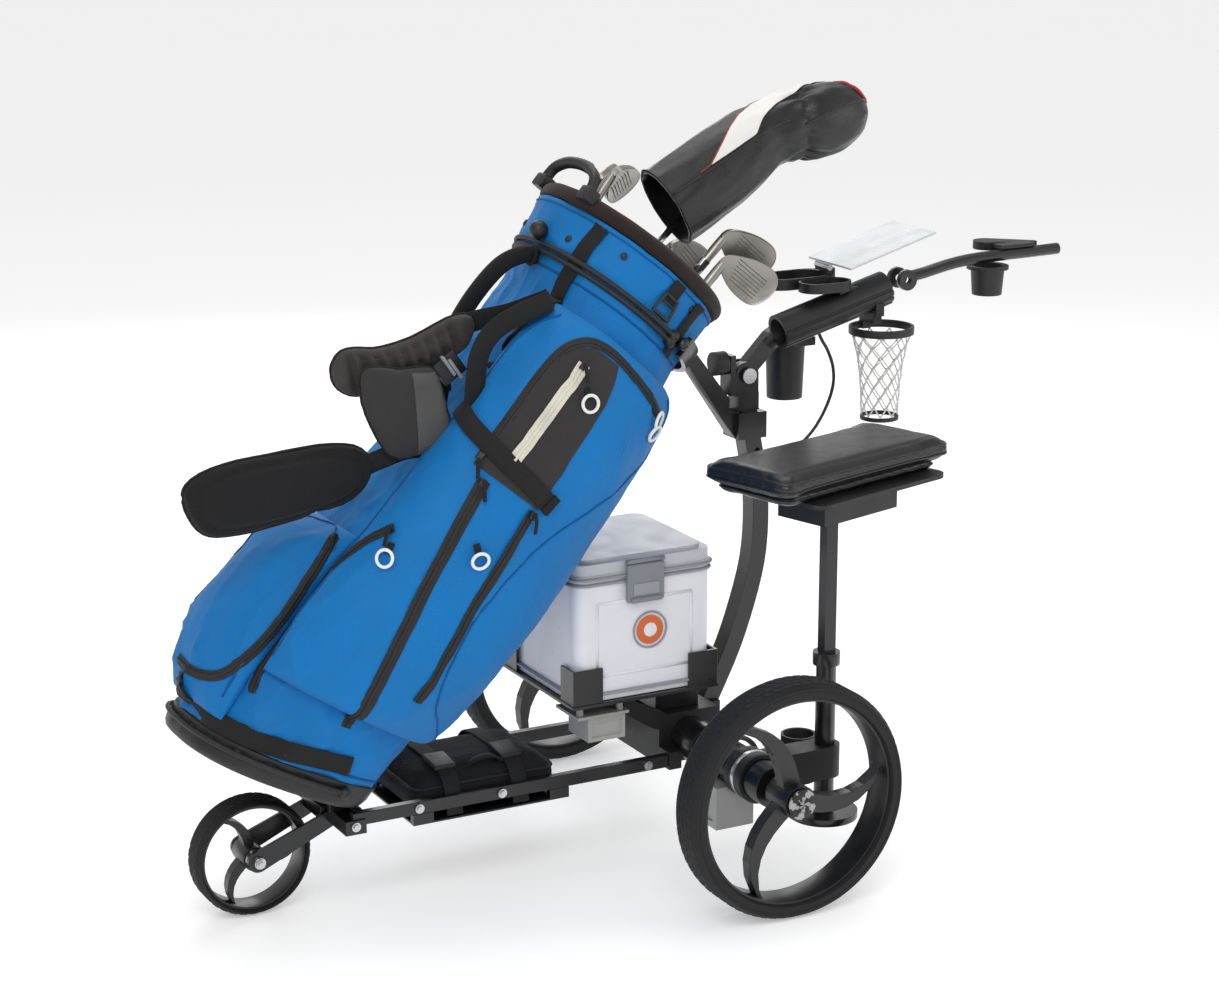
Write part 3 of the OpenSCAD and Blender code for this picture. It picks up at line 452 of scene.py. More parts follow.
def surface_frame(a, z):
    """Outward normal, the direction along the bag and the direction round it, at a place on its skin."""
    p = on_bag(a, z)
    along = (on_bag(a, z + 4) - on_bag(a, z - 4)).normalized()
    around = (on_bag(a + 1.5, z) - on_bag(a - 1.5, z)).normalized()
    out = around.cross(along).normalized()
    if out.dot(p - bag(0, 0, z)) < 0:
        out = -out
    return p, out, along, around


def route_on_bag(points, steps=8, off=0.0):
    """A curve on the bag's skin through (angle, z) places: its points and outward normals."""
    flat = spline([Vector((a, z, 0)) for a, z in points], steps)
    path, normals = [], []
    for q in flat:
        p, out, _, _ = surface_frame(q.x, q.y)
        path.append(p + out * off)
        normals.append(out)
    return path, normals


def webbing(name, points, width, thick, steps=8, off=0.003):
    """A strap sewn to the bag's skin through (angle, z) places."""
    path, normals = route_on_bag(points, steps, off)
    strap(name, path, normals, width, thick, WEBBING, "bag")
    return path, normals


def hang(out):
    """Straight down along a surface that faces out."""
    down = Vector((0, 0, -1)) - out * Vector((0, 0, -1)).dot(out)
    return down.normalized()


def apply_all(obj):
    """The object's mesh with its modifiers applied."""
    dg = bpy.context.evaluated_depsgraph_get()
    mesh = bpy.data.meshes.new_from_object(obj.evaluated_get(dg))
    obj.modifiers.clear()
    old = obj.data
    obj.data = mesh
    bpy.data.meshes.remove(old)


def coords(mesh):
    co = np.empty(len(mesh.vertices) * 3)
    mesh.vertices.foreach_get("co", co)
    return co.reshape(-1, 3)


def puff(obj, cap, pressure=4.0, voxel=0.0055, frames=20):
    """Swells a closed form as stuffed cloth, with a limit on how far a point moves."""
    scene = bpy.context.scene
    remesh = obj.modifiers.new("remesh", "REMESH")
    remesh.mode = "VOXEL"
    remesh.voxel_size = voxel
    remesh.use_smooth_shade = True
    apply_all(obj)
    rest = coords(obj.data)
    cloth = obj.modifiers.new("cloth", "CLOTH")
    s = cloth.settings
    s.quality = 5
    s.mass = 0.3
    s.tension_stiffness = s.compression_stiffness = 14
    s.bending_stiffness = 0.6
    s.use_pressure = True
    s.uniform_pressure_force = pressure
    s.effector_weights.gravity = 0.0
    cloth.point_cache.frame_start, cloth.point_cache.frame_end = 1, frames
    for f in range(1, frames + 1):
        scene.frame_set(f)
    dg = bpy.context.evaluated_depsgraph_get()
    moved = coords(obj.evaluated_get(dg).to_mesh()) - rest
    length = np.linalg.norm(moved, axis=1, keepdims=True)
    moved *= np.minimum(1.0, cap / np.maximum(length, 1e-9))
    obj.modifiers.remove(cloth)
    scene.frame_set(1)
    obj.data.vertices.foreach_set("co", (rest + moved).ravel())
    smooth = obj.modifiers.new("smooth", "SMOOTH")
    smooth.factor, smooth.iterations = 0.5, 4
    sub = obj.modifiers.new("sub", "SUBSURF")
    sub.levels = 1
    apply_all(obj)
    for poly in obj.data.polygons:
        poly.use_smooth = True


def press_lines(obj, lines, depth, width):
    """Pulls the surface in along sewn lines, each a list of points."""
    co = coords(obj.data)
    normal = np.empty(len(obj.data.vertices) * 3)
    obj.data.vertices.foreach_get("normal", normal)
    normal = normal.reshape(-1, 3)
    near = np.full(len(co), 1e9)
    for line in lines:
        for p, q in zip(line, line[1:]):
            p, q = np.array(p), np.array(q)
            d = q - p
            t = np.clip(((co - p) @ d) / max(d @ d, 1e-12), 0, 1)
            near = np.minimum(near, np.linalg.norm(co - p - t[:, None] * d, axis=1))
    co -= normal * (depth * np.exp(-(near / width) ** 2))[:, None]
    obj.data.vertices.foreach_set("co", co.ravel())
    obj.data.update()


def surface_tree(obj):
    return BVHTree.FromPolygons([v.co[:] for v in obj.data.vertices],
                                [p.vertices[:] for p in obj.data.polygons])


def snap_to(obj, points, lift=0.0):
    """Moves points onto an object's surface, standing off by lift."""
    tree = surface_tree(obj)
    out = []
    for p in points:
        hit, normal, _, _ = tree.find_nearest(p)
        out.append(hit + normal * lift)
    return out


def rounded_outline(half_x, half_y, r, n=8, waist=0.0):
    """A rounded rectangle; waist pulls the middle of each side in, in millimetres."""
    out = []
    for cx, cy, start in ((1, 1, 0), (-1, 1, 90), (-1, -1, 180), (1, -1, 270)):
        for i in range(n + 1):
            u = radians(start + 90 * i / n)
            out.append((cx * (half_x - r) + r * cos(u), cy * (half_y - r) + r * sin(u)))
    dense = []
    for i, p in enumerate(out):
        q = out[(i + 1) % len(out)]
        k = max(1, ceil(hypot(q[0] - p[0], q[1] - p[1]) / 14))
        dense += [(p[0] + (q[0] - p[0]) * j / k, p[1] + (q[1] - p[1]) * j / k) for j in range(k)]
    return [(x * (1 - waist / half_x * (1 - (y / half_y) ** 2)),
             y * (1 - waist / half_y * (1 - (x / half_x) ** 2))) for x, y in dense]


def layered(outline, half, layers, place):
    """Rings of an outline at heights, each drawn in by an inset; half is the outline's half sizes."""
    return [[place(x * (1 - inset / half[0]), y * (1 - inset / half[1]), z) for x, y in outline]
            for z, inset in layers]


def dress(node, mats, bevel):
    """A better material on a CAD node that is shown, with its sharp edges eased."""
    obj = nodes[node]
    obj.data.materials.clear()
    obj.data.materials.append(mats)
    weld = obj.modifiers.new("weld", "WELD")
    weld.merge_threshold = 0.00002
    if bevel:
        b = obj.modifiers.new("bevel", "BEVEL")
        b.width = bevel
        b.segments = 2
        b.limit_method = "ANGLE"
        b.angle_limit = radians(38)
        b.use_clamp_overlap = True
        b.harden_normals = False


# --- stage, camera and light

def studio():
    """Pale floor, white world, four soft lamps and the camera."""
    scene = bpy.context.scene
    scene.view_settings.view_transform = "Standard"
    floor = make("floor", [(-30, -30, 0), (30, -30, 0), (30, 30, 0), (-30, 30, 0)], [(0, 1, 2, 3)],
                 material("floor_white", (0.86, 0.86, 0.86), 0.7, mottle=0.004, bump=0.0, mottle_scale=1))
    floor.location.z = -0.0004
    shine = floor.data.materials[0].node_tree.nodes["Principled BSDF"]
    shine.inputs["Emission Color"].default_value = (1, 1, 1, 1)
    shine.inputs["Emission Strength"].default_value = 0.34
    world = bpy.data.worlds.new("studio")
    world.use_nodes = True
    world.node_tree.nodes["Background"].inputs["Color"].default_value = (1, 1, 1, 1)
    world.node_tree.nodes["Background"].inputs["Strength"].default_value = 0.60
    scene.world = world
    lamps = {
        "key": ((-1.9, -2.6, 3.0), 2.2, 56),
        "fill": ((2.8, -2.4, 1.6), 1.8, 18),
        "top": ((0.3, 0.8, 3.4), 2.4, 34),
        "back": ((1.2, 3.2, 1.8), 1.8, 22),
    }
    for name, (place, size, power) in lamps.items():
        light = bpy.data.lights.new(name, "AREA")
        light.energy = power
        light.size = size
        lamp = bpy.data.objects.new(name, light)
        lamp.location = place
        lamp.rotation_euler = (Vector((0, 0, 0.45)) - Vector(place)).to_track_quat("-Z", "Y").to_euler()
        scene.collection.objects.link(lamp)
    camera = bpy.data.cameras.new("camera")
    camera.lens = 80.6
    camera.sensor_width = 36
    cam = bpy.data.objects.new("camera", camera)
    turn, rise, distance = radians(28), radians(15), 3.832
    sight = Vector((sin(turn) * cos(rise), cos(turn) * cos(rise), -sin(rise)))
    cam.location = at(551.4, 0, 507.8) - sight * distance
    cam.rotation_mode = "QUATERNION"
    cam.rotation_quaternion = sight.to_track_quat("-Z", "Y")
    scene.collection.objects.link(cam)
    scene.camera = cam


studio()


# --- bag

def ring_uv(a, z):
    return (radians(a) * 0.14, z / 1000)


def bag_shell():
    """The tube of blue nylon with its dark lining, open at the mouth."""
    across, up, wall = 180, 150, 8
    verts, uvs = [], []
    levels = [BAG_BASE + (BAG_TOP - BAG_BASE) * i / up for i in range(up + 1)]
    inner = [BAG_TOP, 700, 500, 300, 150, BAG_BASE + 10]
    for heights, lining in ((levels, False), (inner, True)):
        for z in heights:
            for j in range(across):
                a = 360 * j / across
                verts.append(ring_point(a, z, tube_at(a, z) + (-wall if lining else wrinkle(a, z))))
                uvs.append(ring_uv(a, z))
    rows = up + 1 + len(inner)
    faces = grid_faces(rows, across, close=True)
    faces.append(tuple(range(across))[::-1])
    faces.append(tuple(range((rows - 1) * across, rows * across)))
    outer = up * across
    shell = make("bag_shell", verts, faces, [NYLON, LINING], "bag", uvs, pick=lambda i: 0 if i < outer else 1)
    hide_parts("bag_body")


def pocket(name, spec, node, rows, cols):
    """A closed soft pocket on the tube, whose outside follows the skin."""
    z0, z1, a0, a1, depth, boxy = spec
    verts, uvs = [], []
    for side in (0, 1):
        for i in range(rows + 1):
            z = z0 + (z1 - z0) * (0.5 - 0.5 * cos(pi * i / rows))
            for j in range(cols + 1):
                a = a0 + (a1 - a0) * (0.5 - 0.5 * cos(pi * j / cols))
                edge = bulge(a, z, spec)
                thick = 0.5 if side else 4 + edge if edge > 0 else 2
                verts.append(ring_point(a, z, tube_at(a, z) + wrinkle(a, z) + thick))
                uvs.append(ring_uv(a, z))
    half = len(verts) // 2
    piece = closed_patch(name, verts[:half], verts[half:], rows + 1, cols + 1, NYLON, uvs=uvs)
    if node:
        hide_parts(node)


def piping(name, points, radius=0.0016):
    """A raised seam on the bag's skin."""
    path, normals = route_on_bag(points, 10, 0.0004)
    sweep(name, path, radius, NYLON_DARK, "bag", n=8, normals=normals)


def zipper(name, points, width=0.015, mat=TAPE, teeth=TAPE, off=0.0012):
    """Zip tape on the skin, with its row of teeth, a slider and a cord puller at its upper end."""
    path, normals = route_on_bag(points, 12, off)
    strap(name + "_tape", path, normals, width, 0.0016, mat, "bag")
    top = [p + n * 0.0013 for p, n in zip(path, normals)]
    sweep(name + "_teeth", top, (0.0024, 0.0011), teeth, "bag", n=8, normals=normals)
    t = (top[1] - top[0]).normalized()
    o = normals[0]
    block(name + "_slider", top[0] + o * 0.0022 + t * 0.004, (0.0055, 0.0042, 0.0021), MOULD, "bag",
          (t, o.cross(t), o), 0.001)
    down = hang(o)
    start = top[0] + o * 0.005
    pull = spline([start, start + down * 0.012 + o * 0.003, start + down * 0.028 + o * 0.001], 5)
    sweep(name + "_puller", pull, (0.0028, 0.0014), WEBBING, "bag", n=8, normals=[o] * len(pull))


def hanging_ring(name, a, z, turn=0.0):
    """A white ring on a short webbing loop."""
    p, out, along, around = surface_frame(a, z)
    down = hang(out)
    side = out.cross(down)
    d = down * cos(turn) + side * sin(turn)
    torus(name, p + out * 0.006 + d * 0.011, (out + d * 0.25).normalized(), 0.0112, 0.0023, RING, "bag")
    loop = spline([p + out * 0.0015 - d * 0.012, p + out * 0.005 - d * 0.002, p + out * 0.0075 + d * 0.002,
                   p + out * 0.0035 + d * 0.001, p + out * 0.0016 - d * 0.012], 4)
    strap(name + "_tab", loop, [out] * len(loop), 0.009, 0.0014, WEBBING, "bag")


def dark_panel():
    """The charcoal panel behind the upper zips, with an arched top."""
    n, off, thick = 24, 0.6, 1.6
    verts, uvs = [], []
    for layer in (thick, 0.0):
        for i in range(n + 1):
            arch = max(0.0, i / n * 4 - 3) ** 2
            lo, hi = -120 + 13 * arch, -91 - 3 * arch
            for j in range(n + 1):
                a, z = lo + (hi - lo) * j / n, 462 + (680 - 462) * i / n
                verts.append(on_bag(a, z, off + layer))
                uvs.append(ring_uv(a, z))
    half = len(verts) // 2
    piece = closed_patch("dark_panel", verts[:half], verts[half:], n + 1, n + 1, CHARCOAL, uvs=uvs, sharp=50)


def bag_parts():
    """The bag's shell, pockets, rim, dividers, seams, zips, rings and sewn webbing."""
    bag_shell()
    pocket("front_pocket", FRONT_POCKET, "pocket_front", 40, 44)
    pocket("near_side_pocket", NEAR_POCKET, "side_pockets", 90, 70)
    pocket("far_side_pocket", FAR_POCKET, None, 80, 50)

    # Rim: a thick knitted cushion with a stitched line
    rings = []
    for j in range(96):
        a = 2 * pi * j / 96
        ring = []
        for k in range(18):
            u = 2 * pi * k / 18
            swell = 1 + 0.05 * noise.noise(Vector((cos(a) * 3, sin(a) * 3, k * 0.3)))
            r = 137 + 13.5 * cos(u) * swell
            ring.append(bag(r * cos(a), r * sin(a), BAG_TOP + 12.5 + 12.4 * sin(u) * swell))
        rings.append(ring)
    rings.append(rings[0])
    rim = loft("mouth_rim", rings, KNIT, "bag", caps=False)
    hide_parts("bag_rim")
    for name, r, z in (("rim_stitch_out", 146.4, BAG_TOP + 3), ("rim_stitch_in", 126, BAG_TOP + 21)):
        path = [bag(r * cos(radians(a)), r * sin(radians(a)), z) for a in range(0, 360, 5)]
        sweep(name, path, 0.0011, WEBBING, "bag", n=6, closed=True)

    # Dividers: padded bars across the mouth
    for name, fixed, along_x in (("a", -42, False), ("b", 38, False), ("c", -38, True), ("d", 44, True)):
        reach = (121 ** 2 - fixed ** 2) ** 0.5
        ends = ((-reach, fixed), (reach, fixed)) if along_x else ((fixed, -reach), (fixed, reach))
        path = [bag(ends[0][0] + (ends[1][0] - ends[0][0]) * t / 12,
                    ends[0][1] + (ends[1][1] - ends[0][1]) * t / 12, 803) for t in range(13)]
        sweep("club_divider_" + name, path, (0.0042, 0.024), LINING, "bag", n=14, square=4,
                           normals=[BAG_ALONG] * 13)
    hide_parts("bag_dividers")

    # Seams: round the collar, round each pocket, and down the panels
    piping("collar_seam", [(a, 742) for a in range(0, 361, 12)], 0.0015)
    piping("collar_seam_upper", [(a, 822) for a in range(0, 361, 12)], 0.0012)
    piping("near_pocket_seam_front", [(-143, 130), (-142, 300), (-141, 500), (-138, 640), (-128, 692)])
    piping("near_pocket_seam_back", [(-38, 126), (-37, 300), (-37, 520), (-42, 650), (-56, 694)])
    piping("belly_seam", [(-44, 120), (-60, 150), (-76, 190), (-84, 300), (-80, 430), (-60, 560), (-40, 640)],
           0.0012)
    piping("front_pocket_seam", [(-209, 60), (-207, 170), (-200, 270), (-180, 292), (-160, 286), (-152, 180),
                                 (-154, 60)])

    # Upper pocket panel with the arched zip
    dark_panel()
    zipper("cream_zip", [(-107, 652), (-107.5, 600), (-108, 545), (-108.5, 495)], 0.017, CREAM, CREAM, 0.0034)
    zipper("arch_zip", [(-119, 470), (-119, 540), (-119, 610), (-117, 655), (-111, 680), (-103, 688),
                        (-92, 687), (-82, 682), (-72, 676), (-62, 668)], 0.013)
    zipper("long_zip", [(-113, 452), (-110, 360), (-106, 260), (-100, 170), (-94, 92)], 0.018)
    zipper("short_zip", [(-92, 456), (-90, 370), (-86, 270), (-82, 168)], 0.014)
    zipper("front_zip", [(-158, 284), (-153, 240), (-151, 170), (-153, 110), (-160, 80), (-174, 68),
                         (-192, 70)], 0.014)
    zipper("second_zip", [(-130, 335), (-137, 300), (-144, 240), (-147, 180), (-147, 110), (-143, 80)], 0.013)
    zipper("far_zip", [(60, 640), (61, 520), (62, 380), (63, 250), (64, 150)], 0.014)
    zipper("far_short_zip", [(92, 600), (94, 480), (95, 360)], 0.013)

    for i, (a, z, turn) in enumerate(((-99, 622, 0.0), (-65, 664, 0.5), (-60, 654, -0.4), (-100, 372, 0.2),
                                      (-126, 306, -0.2))):
        hanging_ring("white_ring_%d" % (i + 1), a, z, turn)

    # Buckle, snaps and webbing on the collar
    p, out, along, around = surface_frame(-86, 788)
    corners = [(-0.013, 0.014), (0.013, 0.014), (0.018, -0.014), (-0.018, -0.014)]
    loop = [p + out * 0.006 + around * u + along * v for u, v in corners]
    edge = [a.lerp(b, k / 6) for a, b in zip(loop, loop[1:] + loop[:1]) for k in range(6)]
    sweep("collar_buckle", edge, (0.0026, 0.0022), MOULD, "bag", n=8, closed=True, normals=[out] * len(edge))
    sweep("collar_buckle_bar", [loop[0].lerp(loop[3], 0.35), loop[1].lerp(loop[2], 0.35)], 0.002,
          MOULD, "bag", up=out, n=8)
    webbing("buckle_webbing", [(-86, 826), (-86, 806), (-86, 794)], 0.022, 0.0018, 5, 0.004)
    for i, (a, z) in enumerate(((-153, 787), (-67, 811), (-120, 806), (150, 790), (60, 800))):
        p, out, along, around = surface_frame(a, z)
        lathe("snap_%d" % (i + 1), [(0, 0), (0.0052, 0), (0.0052, 0.0012), (0.0032, 0.0026), (0, 0.0028)], p,
              out, MOULD, "bag", n=20, closed=False)
    webbing("front_webbing", [(-138, 822), (-140, 770), (-141, 736), (-139, 690), (-143, 640), (-148, 583)],
            0.024, 0.0026, off=0.0028)
    p, out, along, around = surface_frame(-139, 684)
    block("webbing_slider", p + out * 0.0055, (0.0165, 0.010, 0.0026), MOULD, "bag",
          (around, along, out), 0.0012)
    webbing("base_webbing", [(-183, 60), (-178, 34), (-150, 30), (-120, 34), (-96, 40), (-76, 44)],
            0.026, 0.003)
    for side, a in (("near", -64), ("far", 64)):
        webbing("collar_webbing_" + side, [(a, 742), (a, 775), (a, 824)], 0.02, 0.002, 6)


bag_parts()


# --- bag: handles, cords and base

def bag_trim():
    """The grab handle, the arched handle on the rim, the shock cords and the moulded base."""
    loop = spline([bag(x, -20, z) for x, z in ((-122, 748), (-142, 738), (-160, 706), (-165, 650), (-158, 592),
                                               (-142, 550), (-116, 528))], 8)
    grab = sweep("grab_handle_padded", loop, lambda t: (0.0125 - 0.003 * abs(2 * t - 1) ** 4,
                 0.0085 - 0.0035 * abs(2 * t - 1) ** 4), MESH, "bag", up=(0, 1, 0), n=16, square=2.6)
    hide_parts("grab_handle")
    for i, k in enumerate((4, len(loop) - 5)):
        d = (loop[k + 1] - loop[k]).normalized()
        torus("grab_handle_cuff_%d" % (i + 1), loop[k], d, 0.0125, 0.0022, WEBBING, "bag", n=24, m=8)

    arch = spline([bag(x, y, BAG_TOP + z) for x, y, z in ((-139, -66, 22), (-141, -59, 44), (-143, -32, 56),
                   (-143, 0, 59), (-143, 32, 56), (-141, 59, 44), (-139, 66, 22))], 6)
    handle = sweep("arch_handle", arch, (0.0078, 0.0068), MOULD, "bag", up=(0.7, 0, 0.7), n=14, square=3)
    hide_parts("bag_handle")
    for side in (-1, 1):
        block("arch_handle_foot_%s" % ("near" if side < 0 else "far"), bag(-138, side * 66, BAG_TOP + 20),
              (0.011, 0.012, 0.010), MOULD, "bag", (BAG_UNDER, (0, 1, 0), BAG_ALONG), 0.004)
    for i in range(9):
        y = -32 + i * 8
        torus("arch_grip_%d" % (i + 1), bag(-143, y, BAG_TOP + 58.6 - 0.0027 * y * y), (0, 1, 0),
              0.0070, 0.0012, MOULD, "bag", n=20, m=6)

    for name, z, drop in (("upper", 766, 0), ("second", 757, 0), ("lower", BAG_BASE, -14)):
        path = []
        for i in range(61):
            a = 70 + i * 220 / 60
            path.append(ring_point(a, z, tube_at(a, z) + (6.6 if z > 500 else 5.2), drop))
        sweep("shock_cord_" + name, path, 0.0037, CORD, "bag", up=BAG_ALONG, n=10)
        for k, tag in ((0, "far"), (-1, "near")):
            ball("shock_cord_%s_ball_%s" % (name, tag), path[k], (0, 1, 0), 0.0085, 8, MOULD, 20)
    p, out, along, around = surface_frame(-172, 778)
    ball("shock_cord_toggle", p + out * 0.014, out, 0.013, 12, MOULD, 28)
    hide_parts("bungees")

    # Moulded base: a tray with a lip and ribs
    rings = []
    for z, inset in ((-38, 9), (-36, 5), (-31, 1.5), (-24, 0), (-9, 0), (-7, -1.6), (-2, -2.2), (0, -0.4)):
        ring = []
        for j in range(120):
            a = 3 * j
            rib = 0.9 if -30 < z < -8 and j % 6 < 3 else 0
            ring.append(ring_point(a, BAG_BASE, tube_at(a, BAG_BASE) - inset + rib, z))
        rings.append(ring)
    boot = loft("base_boot", rings, MOULD, "bag", sharp=35)
    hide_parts("bag_boot")
    piping("base_seam", [(a, 30) for a in range(0, 361, 12)])


def pad(name, node, outline, thick, centre_y, mat, lines, cap, depth=0.0045, width=0.006):
    """A stuffed shoulder pad that stands in the plane of X and Z."""
    outline = [Vector(p) for p in outline]
    middle = sum(outline, Vector((0, 0))) / len(outline)
    rings = []
    for u, inset in ((-1, 0.30), (-0.8, 0.08), (0, 0), (0.8, 0.08), (1, 0.30)):
        drawn = [p + (middle - p).normalized() * inset * 30 for p in outline]
        rings.append([at(p.x, centre_y + u * thick / 2, p.y) for p in drawn])
    piece = loft(name, rings, mat)
    puff(piece, cap, pressure=3.5, voxel=0.006)
    press_lines(piece, lines, depth, width)
    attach(piece, "bag")
    if node:
        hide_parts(node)
    return piece


# Outlines of the shoulder straps in the plane of X and Z
LOWER_PAD = [(-99, 612), (-84, 630), (-40, 646), (20, 653), (90, 656), (140, 650), (162, 630), (160, 602),
             (136, 578), (84, 562), (20, 551), (-40, 549), (-72, 556), (-90, 580)]
UPPER_PAD = [(108, 744), (111, 762), (124, 776), (150, 780), (182, 782), (240, 794), (288, 808), (312, 804),
             (314, 784), (296, 758), (245, 738), (185, 722), (145, 712), (118, 724)]
FOLD_PANEL = [(136, 724), (136, 748), (150, 759), (196, 756), (240, 752), (256, 730), (266, 690), (274, 648),
              (264, 634), (222, 628), (188, 628), (166, 646), (150, 676), (140, 702)]


def binding(name, piece, outline, y, lift, radius):
    """Tape sewn round the edge of a pad."""
    edge = snap_to(piece, [at(x, y, z) for x, z in outline], lift)
    sweep(name, edge, radius, WEBBING, "bag", n=8, closed=True)


def shoulder_pads():
    """The two strap pads that stand out from the bag, the folded strap end and the webbing that joins them."""
    low, high, fold = (spline(points, 3, closed=True) for points in (LOWER_PAD, UPPER_PAD, FOLD_PANEL))
    middle = Vector((32, 602))
    seam = [[at(p[0] * 0.88 + middle.x * 0.12, y, p[1] * 0.80 + middle.y * 0.20) for p in low + low[:1]]
            for y in (-84, -48)]
    lower = pad("lower_shoulder_pad", "shoulder_straps", low, 30, -66, MESH, seam, 0.007)
    binding("lower_pad_binding", lower, low, -66, 0.0006, 0.0022)
    ribs = []
    for k in range(9):
        x = 136 + k * 18
        foot, head = 716 + k * 5.5, 778 + k * 3.2
        ribs += [[at(x + 8, y, foot), at(x, y, (foot + head) / 2), at(x - 8, y, head)] for y in (-84, -48)]
    upper = pad("upper_shoulder_pad", None, high, 30, -66, RIBBED, ribs, 0.006, 0.0105, 0.0062)
    binding("upper_pad_binding", upper, high, -66, 0.0004, 0.0019)

    # The charcoal end of the strap, folded over the ribbed pad, with a paler stripe
    panel = pad("shoulder_panel", None, fold, 17, -93, CHARCOAL, [], 0.004)
    binding("shoulder_panel_binding", panel, fold, -93, 0.0004, 0.0018)
    rows, cols = 19, 9
    grid = [at(206 + 14 * i / 18 + 46 * j / 8 - 6 * (i / 18) ** 2, -115, 752 - 116 * i / 18 - 4 * j / 8)
            for i in range(rows) for j in range(cols)]
    tree = surface_tree(panel)
    front = []
    for p in grid:
        hit = tree.ray_cast(p, Vector((0, 1, 0)))[0] or tree.find_nearest(p)[0]
        front.append(hit + Vector((0, -0.0012, 0)))
    closed_patch("shoulder_stripe", front, [p + Vector((0, 0.0018, 0)) for p in front], rows, cols, STRIPE,
                 uvs=[(p.x, p.z) for p in front * 2], sharp=50)

    out = Vector((0, -1, 0))
    straps = {
        "shoulder_strap_upper": (0.028, [(300, -66, 794), (322, -72, 800), (352, -84, 806), (384, -98, 818),
                                         (404, -112, 828)]),
        "shoulder_strap_lower": (0.028, [(146, -68, 618), (176, -82, 632), (206, -84, 640), (240, -88, 640)]),
        "shoulder_strap_hanging": (0.029, [(400, -122, 826), (360, -116, 812), (322, -112, 792),
                                           (300, -112, 762), (292, -114, 720), (289, -116, 672),
                                           (286, -120, 634), (286, -130, 618)]),
        "shoulder_strap_far": (0.028, [(262, -48, 652), (272, -40, 690), (284, -34, 730), (296, -30, 770)]),
    }
    for name, (width, points) in straps.items():
        path = spline([at(*p) for p in points], 8)
        strap(name, path, [out] * len(path), width, 0.003, WEBBING, "bag")
    path, normals = webbing("strap_tail", [(-141, 516), (-128, 500), (-112, 489), (-98, 482), (-88, 477)],
                            0.026, 0.003, off=0.0045)
    block("strap_tail_end", path[-1] + normals[-1] * 0.001, (0.014, 0.006, 0.003), WEBBING, "bag",
          ((path[-1] - path[-5]).cross(normals[-1]), path[-1] - path[-5], normals[-1]), 0.0015)
    block("strap_adjuster", at(288, -118, 668), (0.0165, 0.0032, 0.006), MOULD, "bag", None, 0.002)
    tipped = ((1, 0, 0.7), (0, 1, 0), (-0.7, 0, 1))
    for k in range(2):
        block("strap_buckle_bar_%d" % (k + 1), at(262 + 10 * k, -96, 748 - 5 * k),
              (0.0022, 0.0035, 0.016), LATCH, "bag", tipped, 0.001)
    block("strap_buckle", at(266, -90, 744), (0.018, 0.0045, 0.017), MOULD, "bag", tipped, 0.002)


bag_trim()
shoulder_pads()


# --- clubs

IRON_BUTTS = [(26, -33, 52), (42, -69, 56), (-70, -30, 46), (-14, 78, 46), (62, 40, 64)]
IRON_NECKS = [(70, -60, 905), (80, -82, 872), (-80, 24, 886), (-70, 70, 880), (78, 60, 872)]
IRON_TURNS = [-9, -22, 44, 60, 20]


def axes_of(direction, turn):
    """Local axes of a club head: x to its toe, z along the shaft."""
    z = direction.normalized()
    bx = bag(1, 0, 0) - bag(0, 0, 0)
    x = (bx - z * bx.dot(z)).normalized()
    y = z.cross(x)
    c, s = cos(radians(turn)), sin(radians(turn))
    return x * c + y * s, y * c - x * s, z


def club_shaft(name, butt, neck, body):
    """Grip, tapering steel shaft with steps, and a ferrule."""
    a, b = bag(*butt), bag(*neck)
    d = (b - a).normalized()
    length = (b - a).length
    grip = [(0, 0), (0.0118, 0), (0.0125, 0.003), (0.0120, 0.02), (0.0105, 0.15), (0.0088, 0.262),
            (0.0, 0.2622)]
    lathe(name + "_grip", grip, a, d, GRIP_RUBBER, body, n=24, closed=False)
    grip_end, sections = 0.2625, 9
    steps = [(0.0001, grip_end)]
    for i in range(sections):
        z0 = grip_end + (length - 0.30) * i / sections
        z1 = grip_end + (length - 0.30) * (i + 1) / sections
        steps += [(0.0066 - 0.0002 * i, z0), (0.0066 - 0.0002 * i, z1 - 0.0004)]
    steps.append((0.0001, z1))
    lathe(name + "_shaft", steps, a, d, SHAFT, body, n=20, closed=False)
    top = length - 0.014
    rings = [(0.0001, top - 0.026), (0.0056, top - 0.026), (0.0068, top - 0.018), (0.0072, top - 0.016),
             (0.0072, top - 0.014), (0.0068, top - 0.012), (0.0075, top), (0.0001, top)]
    lathe(name + "_ferrule", rings, a, d, [MOULD, STEEL], body, n=20, closed=False,
          pick=lambda k: 1 if k in (3, 4) else 0)
    return a, b, d


